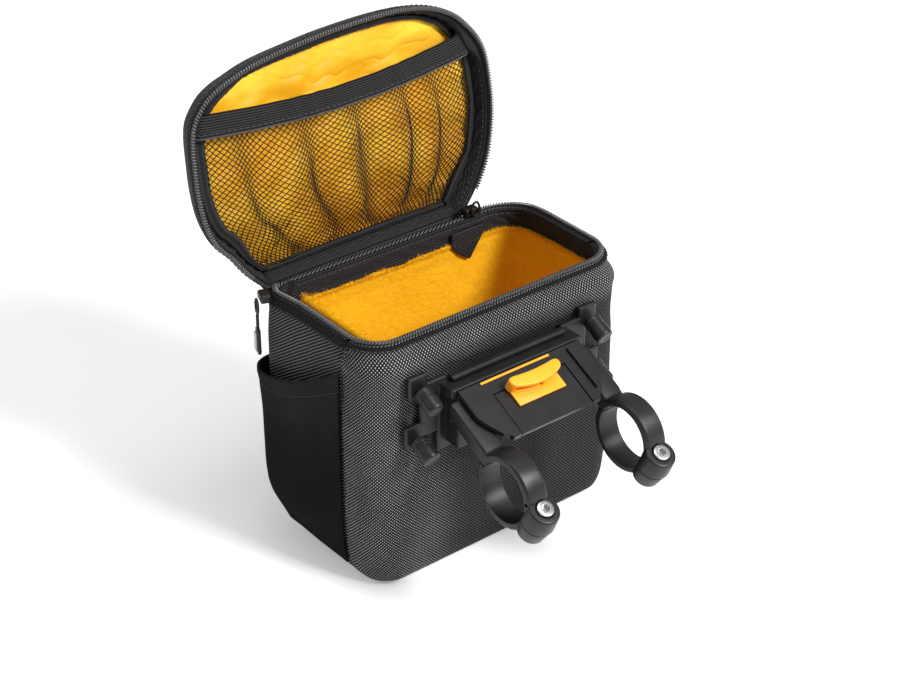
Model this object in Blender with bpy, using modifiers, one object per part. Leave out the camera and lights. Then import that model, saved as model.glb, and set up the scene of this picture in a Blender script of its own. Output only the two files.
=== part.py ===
"""Bicycle handlebar bag: a padded, zipped camera-style bag with its lid open, and its clamp-on mount.

Frame: metres, +Z up. The origin is the middle of the flat base. +X runs along the handlebar, to the
right as the rider sees it, and +Y points away from the rider, towards the lid's hinge.
"""
import math

import bmesh
import bpy
from mathutils import Matrix, Vector

# Driving sizes of the bag
BAG_WIDTH = 0.168
BAG_DEPTH = 0.093
BAG_HEIGHT = 0.144
WALL = 0.003
LINING_THICKNESS = 0.0018
TAPE_THICKNESS = 0.0008
COIL_RADIUS = 0.0013
GAP = 0.0003

# The rim dips at the hinge side, and the hinge wall stands a little askew
RIM_DROP = 0.003
FAR_SKEW = 0.0035
RIM_BAND_HEIGHT = 0.0055
RIM_FACING_HEIGHT = 0.0135

# Driving sizes of the lid
LID_WIDTH = 0.1886
LID_LENGTH = 0.127
LID_SKIRT = 0.0135
LID_WALL = 0.0022
LID_TILT = math.radians(5.0)
LID_SHIFT = -0.0195
LID_FOOT = 0.004
ELASTIC_WIDTH = 0.0115

# Driving sizes of the mount
BAR_DIAMETER = 0.0318
MOUNT_X = -0.003
DECK_SLOPE = math.radians(27.0)
DECK_HALF_WIDTH = 0.039
DECK_LENGTH = 0.034
DECK_THICKNESS = 0.003
TONGUE_HALF_WIDTH = 0.023
CLAMP_ANGLE = math.radians(62.0)
CLAMP_WALL = 0.0038
CLAMP_WIDTH = 0.0125
CLAMP_OUTER_HALF = 0.045
BOLT_REACH = 0.0205

# Outline of the bag at each height. Lengths are shares: height of BAG_HEIGHT, half_width of half the
# BAG_WIDTH, and the rest of BAG_DEPTH, with near and far as distances from the origin along Y.
SECTIONS = (
    # height, half_width, near, far, near_radius, far_radius
    (0.000, 0.870, -0.455, 0.150, 0.130, 0.120),
    (0.025, 0.930, -0.502, 0.285, 0.160, 0.170),
    (0.081, 0.965, -0.520, 0.385, 0.190, 0.200),
    (0.172, 0.985, -0.526, 0.448, 0.200, 0.220),
    (0.289, 0.995, -0.530, 0.470, 0.200, 0.230),
    (0.792, 1.000, -0.530, 0.473, 0.200, 0.230),
    (0.901, 0.992, -0.524, 0.473, 0.200, 0.230),
    (0.950, 0.976, -0.497, 0.471, 0.200, 0.225),
    (0.9865, 0.962, -0.474, 0.468, 0.205, 0.220),
)
LEFT_FAR_RADIUS_SHARE = 0.62
CORNER_STEPS = 5
NEAR_STEPS = 6
FAR_STEPS = 6
SIDE_STEPS = 4

MODEL = bpy.data.collections.new("handlebar_bag")
CUTTERS = bpy.data.collections.new("cutters")


def clear_scene():
    for item in list(bpy.data.objects):
        bpy.data.objects.remove(item)
    bpy.context.scene.collection.children.link(MODEL)
    bpy.context.scene.collection.children.link(CUTTERS)


def material(name, colour, roughness, metallic=0.0):
    made = bpy.data.materials.get(name)
    if made:
        return made
    made = bpy.data.materials.new(name)
    made.use_nodes = True
    shader = made.node_tree.nodes["Principled BSDF"]
    shader.inputs["Base Color"].default_value = (*colour, 1.0)
    shader.inputs["Roughness"].default_value = roughness
    shader.inputs["Metallic"].default_value = metallic
    made.diffuse_color = (*colour, 1.0)
    return made


def ballistic_cloth():
    return material("ballistic_cloth", (0.030, 0.030, 0.032), 0.80)


def ribbed_cloth():
    return material("ribbed_cloth", (0.020, 0.020, 0.021), 0.85)


def stretch_knit():
    return material("stretch_knit", (0.026, 0.026, 0.028), 0.95)


def yellow_fleece():
    return material("yellow_fleece", (0.90, 0.55, 0.02), 0.95)


def yellow_nylon():
    return material("yellow_nylon", (0.95, 0.62, 0.03), 0.45)


def black_tape():
    return material("black_tape", (0.018, 0.018, 0.019), 0.80)


def black_plastic():
    return material("black_plastic", (0.030, 0.030, 0.032), 0.50)


def yellow_plastic():
    return material("yellow_plastic", (0.95, 0.50, 0.03), 0.40)


def steel():
    return material("steel", (0.62, 0.62, 0.60), 0.28, 1.0)


def reflective_grey():
    return material("reflective_grey", (0.55, 0.56, 0.56), 0.45)


def add_object(name, mesh, surface, collection=None, smooth_angle=35.0):
    """One named object holding mesh, shaded smooth but for its sharp edges."""
    made = bpy.data.objects.new(name, mesh)
    (collection or MODEL).objects.link(made)
    if surface:
        mesh.materials.append(surface)
    mesh.shade_smooth()
    mesh.set_sharp_from_angle(angle=math.radians(smooth_angle))
    return made


def mesh_from_bmesh(name, shape):
    bmesh.ops.recalc_face_normals(shape, faces=shape.faces[:])
    mesh = bpy.data.meshes.new(name)
    shape.to_mesh(mesh)
    shape.free()
    return mesh


def loft(name, rings, closed_loop=False):
    """Skin over rings of equally many points, capped at both ends unless the rings form a loop."""
    shape = bmesh.new()
    rows = [[shape.verts.new(point) for point in ring] for ring in rings]
    pairs = list(zip(rows, rows[1:]))
    if closed_loop:
        pairs.append((rows[-1], rows[0]))
    for lower, upper in pairs:
        for i in range(len(lower)):
            j = (i + 1) % len(lower)
            shape.faces.new((lower[i], lower[j], upper[j], upper[i]))
    if not closed_loop:
        shape.faces.new(rows[0][::-1])
        shape.faces.new(rows[-1])
    return mesh_from_bmesh(name, shape)


def box(name, size, centre, surface=None, turn=None, bevel=0.0, collection=None):
    """A block of the given size about its centre, with edges rounded by bevel."""
    shape = bmesh.new()
    bmesh.ops.create_cube(shape, size=1.0, matrix=Matrix.Diagonal((*size, 1.0)))
    made = add_object(name, mesh_from_bmesh(name, shape), surface, collection)
    made.matrix_world = Matrix.Translation(centre) @ (turn or Matrix.Identity(4))
    if bevel:
        add_bevel(made, bevel)
    return made


def cylinder(name, radius, length, centre, turn, surface=None, sides=24, collection=None, top=None):
    """A round bar about its centre whose axis is turn's own Z."""
    shape = bmesh.new()
    bmesh.ops.create_cone(
        shape,
        cap_ends=True,
        segments=sides,
        radius1=radius,
        radius2=radius if top is None else top,
        depth=length,
    )
    made = add_object(name, mesh_from_bmesh(name, shape), surface, collection)
    made.matrix_world = Matrix.Translation(centre) @ turn
    return made


def prism(name, outline, start, end, surface=None, collection=None):
    """The outline of (y, z) points drawn out along X from start to end."""
    rings = [[(x, y, z) for y, z in outline] for x in (start, end)]
    return add_object(name, loft(name, rings), surface, collection)


def upright_prism(name, outline, low, high, surface=None, collection=None):
    """The outline of (x, y) points drawn up from low to high."""
    rings = [[(x, y, z) for x, y in outline] for z in (low, high)]
    return add_object(name, loft(name, rings), surface, collection)


def add_bevel(made, width, segments=2, angle=35.0):
    bevel = made.modifiers.new("rounded_edges", "BEVEL")
    bevel.width = width
    bevel.segments = segments
    bevel.limit_method = "ANGLE"
    bevel.angle_limit = math.radians(angle)


def hide_cutter(cutter):
    cutter.hide_render = True
    cutter.display_type = "WIRE"


def combine(target, tool, operation):
    """Join or cut target with tool, which ends up among the cutters."""
    hide_cutter(tool)
    step = target.modifiers.new(tool.name, "BOOLEAN")
    step.object = tool
    step.operation = operation
    step.solver = "EXACT"


def bag_section(height):
    """The outline's sizes in metres at a height, read between the rows of SECTIONS."""
    share = height / BAG_HEIGHT
    rows = SECTIONS
    low = max(i for i in range(len(rows) - 1) if i == 0 or rows[i][0] <= share)
    span = (share - rows[low][0]) / (rows[low + 1][0] - rows[low][0])
    mixed = [a + (b - a) * span for a, b in zip(rows[low], rows[low + 1])]
    return (mixed[1] * BAG_WIDTH / 2, *(value * BAG_DEPTH for value in mixed[2:]))


def smooth_step(value):
    value = min(max(value, 0.0), 1.0)
    return value * value * (3 - 2 * value)


def rim_dip(height, y):
    """How far the wall drops towards the hinge corners, near the rim only."""
    rise = smooth_step((height / BAG_HEIGHT - 0.6) / 0.4)
    return RIM_DROP * rise * smooth_step((y / BAG_DEPTH - 0.1) / 0.35)


def arc(centre, radius, start, steps):
    """Quarter turn anticlockwise from the start angle, in degrees."""
    points = []
    for i in range(steps + 1):
        angle = math.radians(start + 90.0 * i / steps)
        points.append((centre[0] + radius * math.cos(angle), centre[1] + radius * math.sin(angle)))
    return points


def between(start, end, steps):
    """The inner points of a straight run cut into equal steps."""
    return [
        (start[0] + (end[0] - start[0]) * i / steps, start[1] + (end[1] - start[1]) * i / steps)
        for i in range(1, steps)
    ]


def bag_outline(height, inset):
    """Closed outline, anticlockwise from the far-left corner's start, moved inwards by inset."""
    half, near, far, near_radius, far_radius = bag_section(height)
    half -= inset
    near += inset
    near_radius = max(near_radius - inset, GAP)
    right_radius = max(far_radius - inset, GAP)
    left_radius = max(far_radius * LEFT_FAR_RADIUS_SHARE - inset, GAP)
    far_left = far - inset + FAR_SKEW / 2
    far_right = far - inset - FAR_SKEW / 2
    left_far = arc((-half + left_radius, far_left - left_radius), left_radius, 90, CORNER_STEPS)
    left_near = arc((-half + near_radius, near + near_radius), near_radius, 180, CORNER_STEPS)
    right_near = arc((half - near_radius, near + near_radius), near_radius, 270, CORNER_STEPS)
    right_far = arc((half - right_radius, far_right - right_radius), right_radius, 0, CORNER_STEPS)
    points = left_far + between(left_far[-1], left_near[0], SIDE_STEPS)
    points += left_near + between(left_near[-1], right_near[0], NEAR_STEPS)
    points += right_near + between(right_near[-1], right_far[0], SIDE_STEPS)
    points += right_far + between(right_far[-1], left_far[0], FAR_STEPS)
    return points


def bag_ring(height, inset, lift=0.0):
    return [
        (x, y, height + lift - rim_dip(height, y)) for x, y in bag_outline(height, inset)
    ]


RIM_HEIGHT = SECTIONS[-1][0] * BAG_HEIGHT
ZIP_POINTS = 2 * CORNER_STEPS + 2 + SIDE_STEPS + NEAR_STEPS + SIDE_STEPS + 2 * CORNER_STEPS - 1
# Share of the first run of the far wall that the zip still follows past the far-right corner
ZIP_TAIL = 0.22


def heights_between(bottom, top):
    inner = [row[0] * BAG_HEIGHT for row in SECTIONS]
    return [bottom] + [value for value in inner if bottom + GAP < value < top - GAP] + [top]


def tub(name, inset, floor, top, wall, surface):
    """A hollow body with an open top: outer skin up, over the edge and down inside to its floor."""
    outer = [bag_ring(height, inset) for height in heights_between(floor, top)]
    inner = [bag_ring(height, inset + wall) for height in heights_between(floor + wall, top)]
    return add_object(name, loft(name, outer + inner[::-1]), surface)


def rim_stretch(height, inset, lift=0.0):
    """The open run of the rim that the zip follows, from the far-left corner round past the far-right."""
    ring = [Vector(point) for point in bag_ring(height, inset, lift)]
    tail = ring[ZIP_POINTS - 1].lerp(ring[ZIP_POINTS], ZIP_TAIL)
    return ring[2:ZIP_POINTS] + [tail]


def band(name, corners, surface):
    """A strip whose four long edges are given as open paths, closed at both ends."""
    rings = [[path[i] for path in corners] for i in range(len(corners[0]))]
    return add_object(name, loft(name, rings), surface)


def tube(name, points, radius, surface, sides=2):
    """A round cord shape along the points, made solid with filled caps."""
    curve = bpy.data.curves.new(name, "CURVE")
    curve.dimensions = "3D"
    curve.bevel_depth = radius
    curve.bevel_resolution = sides
    curve.use_fill_caps = True
    spline = curve.splines.new("POLY")
    spline.points.add(len(points) - 1)
    for slot, point in zip(spline.points, points):
        slot.co = (*point, 1.0)
    made = bpy.data.objects.new(name, curve)
    MODEL.objects.link(made)
    curve.materials.append(surface)
    return made


def make_body():
    tub("shell", 0.0, 0.0, RIM_HEIGHT, WALL, ballistic_cloth())
    lining_top = RIM_HEIGHT - RIM_FACING_HEIGHT
    tub("lining", WALL + GAP, WALL + GAP, lining_top, LINING_THICKNESS, yellow_fleece())


def make_rim_facing():
    """The zip tape turned down inside the rim, all the way round."""
    low = RIM_HEIGHT - RIM_FACING_HEIGHT + GAP
    outside = WALL + GAP
    inside = outside + LINING_THICKNESS
    heights = heights_between(low, RIM_HEIGHT)
    outer = [bag_ring(height, outside) for height in heights]
    inner = [bag_ring(height, inside) for height in heights]
    add_object("rim_facing", loft("rim_facing", outer + inner[::-1], closed_loop=True), black_tape())


def make_rim_band():
    """The smooth band outside the rim, where the zip tape is sewn on."""
    low = RIM_HEIGHT - RIM_BAND_HEIGHT
    paths = (
        rim_stretch(low, -GAP),
        rim_stretch(low, -GAP - TAPE_THICKNESS),
        rim_stretch(RIM_HEIGHT, -GAP - TAPE_THICKNESS),
        rim_stretch(RIM_HEIGHT, -GAP),
    )
    band("rim_band", paths, black_tape())


def make_rim_coil():
    path = rim_stretch(RIM_HEIGHT, WALL / 2, COIL_RADIUS + GAP)
    tube("rim_coil", path, COIL_RADIUS, black_tape(), 1)


# Side pocket of stretch knit: heights of its rows as shares of BAG_HEIGHT, at its far end
POCKET_HEIGHTS = (0.060, 0.081, 0.125, 0.172, 0.230, 0.289, 0.400, 0.520, 0.600, 0.665)
POCKET_WALL = 0.0012
POCKET_BULGE = 0.0045
POCKET_MOUTH = 0.0020
POCKET_STAND = 0.0008
POCKET_RISE = 0.0280
POCKET_DIP = 0.0060
POCKET_END = -0.26


def pocket_path(height, side):
    """The bag's side as seen from above, from the seam near the rider round the far corner."""
    outline = bag_outline(height, 0.0)
    count = CORNER_STEPS + SIDE_STEPS
    if side < 0:
        run = outline[:count + 1][::-1]
    else:
        first = 2 * (CORNER_STEPS + 1) + (SIDE_STEPS - 1) + (NEAR_STEPS - 1) + CORNER_STEPS
        run = outline[first:first + count + 1]
    start = Vector(run[0])
    step = Vector(run[1])
    share = (POCKET_END * BAG_DEPTH - start.y) / (step.y - start.y)
    seam = start.lerp(step, share)
    return [(seam.x, seam.y)] + run[1:]


def outward(path, i, side):
    before = Vector(path[max(i - 1, 0)])
    after = Vector(path[min(i + 1, len(path) - 1)])
    along = (after - before).normalized()
    return Vector((along.y, -along.x)) if side > 0 else Vector((-along.y, along.x))


def make_pocket(name, side):
    """A bowed sheet standing off the bag's side, open at the top and closed all round its foot."""
    def sheet(extra):
        rows = []
        for share in POCKET_HEIGHTS:
            up = (share - POCKET_HEIGHTS[0]) / (POCKET_HEIGHTS[-1] - POCKET_HEIGHTS[0])
            level = share * BAG_HEIGHT
            foot = smooth_step(up / 0.25)
            mouth = smooth_step((up - 0.7) / 0.3)
            count = len(pocket_path(level, side))
            row = []
            for i in range(count):
                along = i / (count - 1)
                across = math.sin(math.pi * along)
                lift = smooth_step((up - 0.42) / 0.58)
                height = level + (POCKET_RISE * (1.0 - along) - POCKET_DIP * across) * lift
                path = pocket_path(height, side)
                bulge = POCKET_BULGE * foot + POCKET_MOUTH * mouth
                stand = POCKET_STAND + bulge * across ** 0.6 + extra
                normal = outward(path, i, side)
                row.append((path[i][0] + normal.x * stand, path[i][1] + normal.y * stand, height))
            rows.append(row)
        return rows

    inner = sheet(0.0)
    outer = sheet(POCKET_WALL)
    rings = []
    for back, front in zip(inner, outer):
        rings.append(back + front[::-1])
    add_object(name, loft(name, rings), stretch_knit())


def make_divider():
    """A fleece-covered board across the bag, one upper corner rounded."""
    thickness = 0.005
    place = -0.060
    clear = WALL + LINING_THICKNESS + 3 * GAP
    near = SECTIONS[5][2] * BAG_DEPTH + clear
    far = SECTIONS[5][3] * BAG_DEPTH + FAR_SKEW / 2 - clear
    foot = clear + 0.002
    top = 0.905 * BAG_HEIGHT
    radius = 0.020
    heel = 0.038
    toe = 0.030
    outline = [(near, foot + toe), (near + 0.05 * toe, foot + 0.35 * toe), (near + 0.14 * toe, foot)]
    outline += [(far - heel, foot), (far - 0.3 * heel, foot + 0.35 * heel), (far, foot + heel)]
    outline += arc((far - 0.4 * radius, top - 0.4 * radius), 0.4 * radius, 0, 3)
    outline += arc((near + radius, top - radius), radius, 90, CORNER_STEPS)
    made = prism("divider", outline, place - thickness / 2, place + thickness / 2, yellow_fleece())
    add_bevel(made, 0.0015)


# Outline of the lid seen from the rider, up its left side, over the top and down its right side
LID_OUTLINE = (
    # across (share of half LID_WIDTH), up (share of LID_LENGTH)
    (-0.600, 0.000),
    (-0.722, 0.092),
    (-0.806, 0.180),
    (-0.900, 0.263),
    (-0.955, 0.365),
    (-0.980, 0.484),
    (-0.986, 0.616),
    (-0.980, 0.716),
    (-0.955, 0.790),
    (-0.879, 0.861),
    (-0.800, 0.899),
    (-0.709, 0.924),
    (-0.515, 0.961),
    (-0.120, 0.993),
    (0.283, 1.000),
    (0.480, 0.985),
    (0.627, 0.955),
    (0.750, 0.908),
    (0.838, 0.849),
    (0.930, 0.760),
    (0.978, 0.655),
    (1.000, 0.470),
    (0.982, 0.335),
    (0.942, 0.225),
    (0.857, 0.110),
    (0.740, 0.000),
)


def lid_frame():
    """Local frame of the open lid: X along the hinge, Z up the lid and Y towards its outside."""
    origin = Vector((LID_SHIFT, 0.512 * BAG_DEPTH, RIM_HEIGHT - RIM_DROP))
    return Matrix.Translation(origin) @ Matrix.Rotation(-LID_TILT, 4, "X")


def lid_outline(inset, shrink=1.0):
    """Lid outline as (x, z) pairs, moved inwards by inset and drawn in about its middle by shrink."""
    points = [
        Vector((across * LID_WIDTH / 2, up * LID_LENGTH - LID_FOOT)) for across, up in LID_OUTLINE
    ]
    middle = Vector((0.0, LID_LENGTH / 2 - LID_FOOT))
    moved = []
    for i, point in enumerate(points):
        before = (point - points[i - 1]).normalized()
        after = (points[(i + 1) % len(points)] - point).normalized()
        inward = Vector((before.y + after.y, -before.x - after.x)).normalized()
        reach = inset / max(inward.dot(Vector((after.y, -after.x))), 0.5)
        place = middle + (point + inward * reach - middle) * shrink
        moved.append((place.x, place.y))
    return moved


def lid_span(z, inset):
    """Left and right limits of the lid's outline at height z, inside the given inset."""
    outline = lid_outline(inset)
    crossings = []
    for (x0, z0), (x1, z1) in zip(outline, outline[1:]):
        if min(z0, z1) <= z <= max(z0, z1) and abs(z1 - z0) > 1e-9:
            crossings.append(x0 + (x1 - x0) * (z - z0) / (z1 - z0))
    return (min(crossings), max(crossings)) if crossings else (outline[0][0], outline[-1][0])


def place_lid(made):
    made.matrix_world = lid_frame()
    return made


def lid_ring(inset, y, shrink=1.0):
    return [(x, y, z) for x, z in lid_outline(inset, shrink)]


# Cross-section of the lid's skirt, from the outer panel to the open edge
LID_PROFILE = (
    # depth (share of LID_SKIRT), inset
    (1.00, 0.0075),
    (0.90, 0.0044),
    (0.70, 0.0024),
    (0.35, 0.0008),
    (0.00, 0.0000),
)
LID_FLOOR = LID_SKIRT - LID_WALL - GAP


def make_lid_shell():
    """A shallow tray: outer panel at the back, a skirt round it and an open face to the rider."""
    outer = [lid_ring(inset, LID_SKIRT * depth) for depth, inset in LID_PROFILE]
    floor = LID_SKIRT - LID_WALL
    inner = [
        lid_ring(inset + LID_WALL, min(LID_SKIRT * depth, floor)) for depth, inset in LID_PROFILE[1:]
    ]
    place_lid(add_object("lid_shell", loft("lid_shell", outer + inner[::-1]), ribbed_cloth()))


LID_CLEAR = LID_WALL + LID_PROFILE[1][1] + GAP


def make_lid_lining():
    """Smooth nylon sheet over the lid's floor, puffed out a little towards the rider."""
    rings = [lid_ring(LID_CLEAR, LID_FLOOR)]
    for shrink, puff in ((1.0, 0.0007), (0.90, 0.0012), (0.70, 0.0018)):
        rings.append(lid_ring(LID_CLEAR, LID_FLOOR - puff, shrink))
    place_lid(add_object("lid_lining", loft("lid_lining", rings), yellow_nylon()))


def make_lid_facing():
    """Black tape inside the skirt, from the coil back to the nylon."""
    edge = LID_WALL + GAP
    deep = LID_WALL + LID_PROFILE[2][1] + 2 * GAP
    back = LID_SKIRT * LID_PROFILE[2][0]
    paths = (
        lid_ring(edge, GAP),
        lid_ring(deep, back),
        lid_ring(deep + TAPE_THICKNESS, back),
        lid_ring(edge + TAPE_THICKNESS, GAP),
    )
    made = add_object("lid_facing", loft("lid_facing", paths, closed_loop=True), black_tape())
    place_lid(made)


def make_lid_coil():
    path = [(x, -COIL_RADIUS - GAP, z) for x, z in lid_outline(LID_WALL / 2)][1:-1]
    place_lid(tube("lid_coil", path, COIL_RADIUS, black_tape(), 1))


# Gathered net pocket: one row for each soft fold, places and widths as shares of the pocket's width
NET_FOLDS = (
    # place, width, depth
    (0.16, 0.05, 0.0016),
    (0.33, 0.05, -0.0008),
    (0.48, 0.06, 0.0018),
    (0.62, 0.05, -0.0008),
    (0.76, 0.06, 0.0015),
    (0.90, 0.04, -0.0008),
)
NET_THICKNESS = 0.0006
NET_COLUMNS = 24
NET_ROWS = 6
ELASTIC_TOP = 0.805
ELASTIC_SAG = 0.0057


def elastic_line(across):
    """Height up the lid of the elastic's upper edge, sagging between its ends."""
    return LID_LENGTH * ELASTIC_TOP - ELASTIC_SAG * math.sin(math.pi * across) - LID_FOOT


def make_lid_net():
    """The net as one thin gathered sheet that bellies out below the elastic."""
    side = LID_CLEAR + TAPE_THICKNESS

    def sheet(offset):
        rows = []
        for r in range(NET_ROWS + 1):
            up = r / NET_ROWS
            row = []
            for c in range(NET_COLUMNS + 1):
                across = c / NET_COLUMNS
                top = elastic_line(across) - ELASTIC_WIDTH + 0.0005
                foot = -LID_FOOT + side + 0.0015
                z = foot + (top - foot) * up
                left, right = lid_span(z, side)
                x = left + (right - left) * across
                edge = math.sin(math.pi * across) ** 0.5
                belly = math.sin(math.pi * min(up * 1.15, 1.0) * 0.62) * edge
                fold = sum(
                    depth * math.exp(-((across - place) / width) ** 2)
                    for place, width, depth in NET_FOLDS
                )
                rise = 0.0082 * belly + fold * edge * math.sin(math.pi * (0.02 + 0.88 * up))
                y = LID_FLOOR - 0.0017 - offset - rise
                row.append((x, y, z))
            rows.append(row)
        return rows

    back = sheet(0.0)
    front = sheet(NET_THICKNESS)
    rings = [b + f[::-1] for b, f in zip(back, front)]
    place_lid(add_object("lid_net", loft("lid_net", rings), black_tape()))


def make_lid_elastic():
    """Ribbed elastic along the pocket's mouth, stretched across the lid in a shallow bow."""
    side = LID_WALL + TAPE_THICKNESS + 4.5 * GAP
    thickness = 0.0014
    steps = 16
    corners = ([], [], [], [])
    for i in range(steps + 1):
        across = i / steps
        top = elastic_line(across)
        low = top - ELASTIC_WIDTH
        left = max(lid_span(top, side)[0], lid_span(low, side)[0])
        right = min(lid_span(top, side)[1], lid_span(low, side)[1])
        x = left + (right - left) * across
        y = GAP - 0.0030 * math.sin(math.pi * across)
        for path, (depth, z) in zip(corners, ((0, low), (thickness, low), (thickness, top), (0, top))):
            path.append((x, y + depth, z))
    place_lid(band("lid_elastic", corners, black_tape()))


def make_hinge():
    """Cloth strip that joins the far wall to the lid's lower edge, outside both."""
    left = LID_SHIFT + LID_OUTLINE[0][0] * LID_WIDTH / 2 + GAP
    right = LID_SHIFT + LID_OUTLINE[-1][0] * LID_WIDTH / 2 - 0.0020
    frame = lid_frame()
    wall = SECTIONS[5][3] * BAG_DEPTH + FAR_SKEW / 2 + GAP
    cloth = 0.0012
    low = 0.82 * BAG_HEIGHT
    under = [
        frame @ Vector((0.0, LID_SKIRT * depth, inset - LID_FOOT - 1.3 * GAP))
        for depth, inset in LID_PROFILE[:1:-1]
    ]
    outline = [(wall, low), (wall + cloth, low), (wall + cloth, under[0].z - cloth)]
    outline += [(point.y, point.z - cloth) for point in under[1:]]
    outline += [(point.y, point.z) for point in under[::-1]]
    outline.append((wall, under[0].z))
    prism("hinge_strip", outline, left, right, black_tape())


# Webbing corner: its width, its drop below the rim and its place in from the lid's corner
GUSSET_WIDTH = 0.0210
GUSSET_DROP = 0.0190
GUSSET_STEP = 0.0055
GUSSET_LOWERED = 0.0040
GUSSET_OUTLINE = (
    # across (share of half GUSSET_WIDTH), down (share of GUSSET_DROP)
    (-1.00, 0.00),
    (1.00, 0.00),
    (1.00, 0.37),
    (0.19, 1.00),
    (-1.00, 0.47),
)


def make_gusset():
    """Webbing corner that hangs from the lid's lower right corner to a point inside the far wall."""
    centre = LID_SHIFT + LID_OUTLINE[-1][0] * LID_WIDTH / 2 - GUSSET_STEP
    top = RIM_HEIGHT - RIM_DROP - GUSSET_LOWERED
    back = SECTIONS[-1][3] * BAG_DEPTH - WALL - LINING_THICKNESS - 2 * GAP - FAR_SKEW / 2
    points = [
        (centre + across * GUSSET_WIDTH / 2, top - down * GUSSET_DROP) for across, down in GUSSET_OUTLINE
    ]
    rings = [[(x, y, z) for x, z in points] for y in (back - 1.5 * TAPE_THICKNESS, back)]
    add_object("hinge_gusset", loft("hinge_gusset", rings), black_tape())


# Zip slider and pull: sizes of the moulded pieces
SLIDER_SIZE = (0.0085, 0.0055, 0.0048)
SLIDER_CLEARANCE = 0.0012
RING_RADIUS = 0.0026
RING_STRETCH = 1.55
RING_WIRE = 0.0007
TAB_SIZE = (0.0052, 0.0020, 0.0150)
NECK_RADIUS = 0.0009
NECK_LENGTH = 0.0075


def zip_ring(name, centre, turn):
    points = []
    steps = 10
    for i in range(steps):
        angle = 2 * math.pi * i / steps
        points.append((RING_RADIUS * math.sin(angle), 0.0, RING_RADIUS * RING_STRETCH * math.cos(angle)))
    ring = tube(name, points, RING_WIRE, black_plastic(), 1)
    ring.data.splines[0].use_cyclic_u = True
    ring.data.use_fill_caps = False
    ring.matrix_world = Matrix.Translation(centre) @ turn


def make_left_slider():
    """Slider at the zip's left end with its hanging pull, all outside the bag's corner."""
    corner = Vector((-BAG_WIDTH / 2 - 0.0012, 0.4000 * BAG_DEPTH, RIM_HEIGHT - 0.0025))
    turn = Matrix.Rotation(math.radians(70.0), 4, "Z")
    box("zip_slider_left", SLIDER_SIZE, corner, black_plastic(), turn, 0.0012)
    out = turn @ Vector((0.0, 1.0, 0.0))
    drop = Vector((0.0, 0.0, -1.0))
    ring_centre = corner + out * (SLIDER_SIZE[1] / 2 + 0.0012) + drop * 0.0050
    zip_ring("zip_ring_left", ring_centre, turn)
    neck_top = ring_centre + drop * (RING_RADIUS * RING_STRETCH + RING_WIRE + GAP)
    tab_top = neck_top + drop * NECK_LENGTH
    tab_centre = tab_top + drop * (TAB_SIZE[2] / 2)
    pull = box("zip_pull", TAB_SIZE, tab_centre, black_plastic(), turn, 0.0009)
    root = 0.002
    neck_centre = neck_top + drop * ((NECK_LENGTH + root) / 2)
    neck = cylinder("zip_neck", NECK_RADIUS, NECK_LENGTH + root, neck_centre, turn, None, 10, CUTTERS)
    combine(pull, neck, "UNION")
    inset_size = (TAB_SIZE[0] * 0.62, 0.0006, TAB_SIZE[2] * 0.70)
    face = tab_centre + out * (TAB_SIZE[1] / 2 + inset_size[1] / 2 + GAP)
    box("zip_inset", inset_size, face, reflective_grey(), turn)


def make_right_slider():
    """Slider parked past the far-right corner, on top of the rim beside the lid's corner."""
    tail = rim_stretch(RIM_HEIGHT, WALL / 2)[-1]
    across = tail.x - SLIDER_SIZE[0] / 2 - SLIDER_CLEARANCE
    far = SECTIONS[-1][3] * BAG_DEPTH - FAR_SKEW / 2 - WALL / 2
    rise = RIM_HEIGHT - RIM_DROP + 2 * GAP + SLIDER_SIZE[2] / 2
    box("zip_slider_right", SLIDER_SIZE, (across, far, rise), black_plastic(), None, 0.0012)
    ring_centre = Vector((across + 0.0010, far - SLIDER_SIZE[1] / 2 - RING_WIRE - GAP, rise + 0.0025))
    zip_ring("zip_ring_right", ring_centre, Matrix.Identity(4))


# Mount: places worked out from the bar and the deck
PLATE_FACE = -0.530 * BAG_DEPTH - GAP
HOUSING_FACE = PLATE_FACE - 0.0138
LEDGE_TOP = BAG_HEIGHT - 0.0270
DECK_FAR = Vector((MOUNT_X, HOUSING_FACE - GAP, LEDGE_TOP - 0.0008))
DOWN_SLOPE = Vector((0.0, -math.cos(DECK_SLOPE), -math.sin(DECK_SLOPE)))
DECK_NORMAL = Vector((0.0, -math.sin(DECK_SLOPE), math.cos(DECK_SLOPE)))
BAR_CENTRE = Vector((MOUNT_X, HOUSING_FACE - 0.0414, LEDGE_TOP - 0.0355))
BOSS_WAY = Vector((0.0, -math.sin(CLAMP_ANGLE), -math.cos(CLAMP_ANGLE)))
BOLT_WAY = Vector((0.0, -math.cos(CLAMP_ANGLE), math.sin(CLAMP_ANGLE)))
CLAMP_RADIUS = BAR_DIAMETER / 2 + CLAMP_WALL
BOSS_RADIUS = 0.0080
BOLT_OFFSET = 0.038
BOLT_HEAD_RADIUS = 0.0044
BOLT_SHANK_RADIUS = 0.0025
PARTING = 0.0012
STUD_RADIUS = 0.0048
STUD_LENGTH = 0.0125
EAR_THICKNESS = 0.0032
EAR_BACK = 0.0005
STUD_ROWS = (
    # row, distance out from the mount's middle, height
    ("upper", 0.0550, LEDGE_TOP + 0.0025),
    ("lower", 0.0575, LEDGE_TOP - 0.0250),
)
SIDES = (("left", -1), ("right", 1))


def deck_point(x, along, rise=0.0):
    """A point on the deck: x from the mount's middle, distance down the slope, height above it."""
    return DECK_FAR + Vector((x, 0.0, 0.0)) + DOWN_SLOPE * along + DECK_NORMAL * rise


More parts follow.
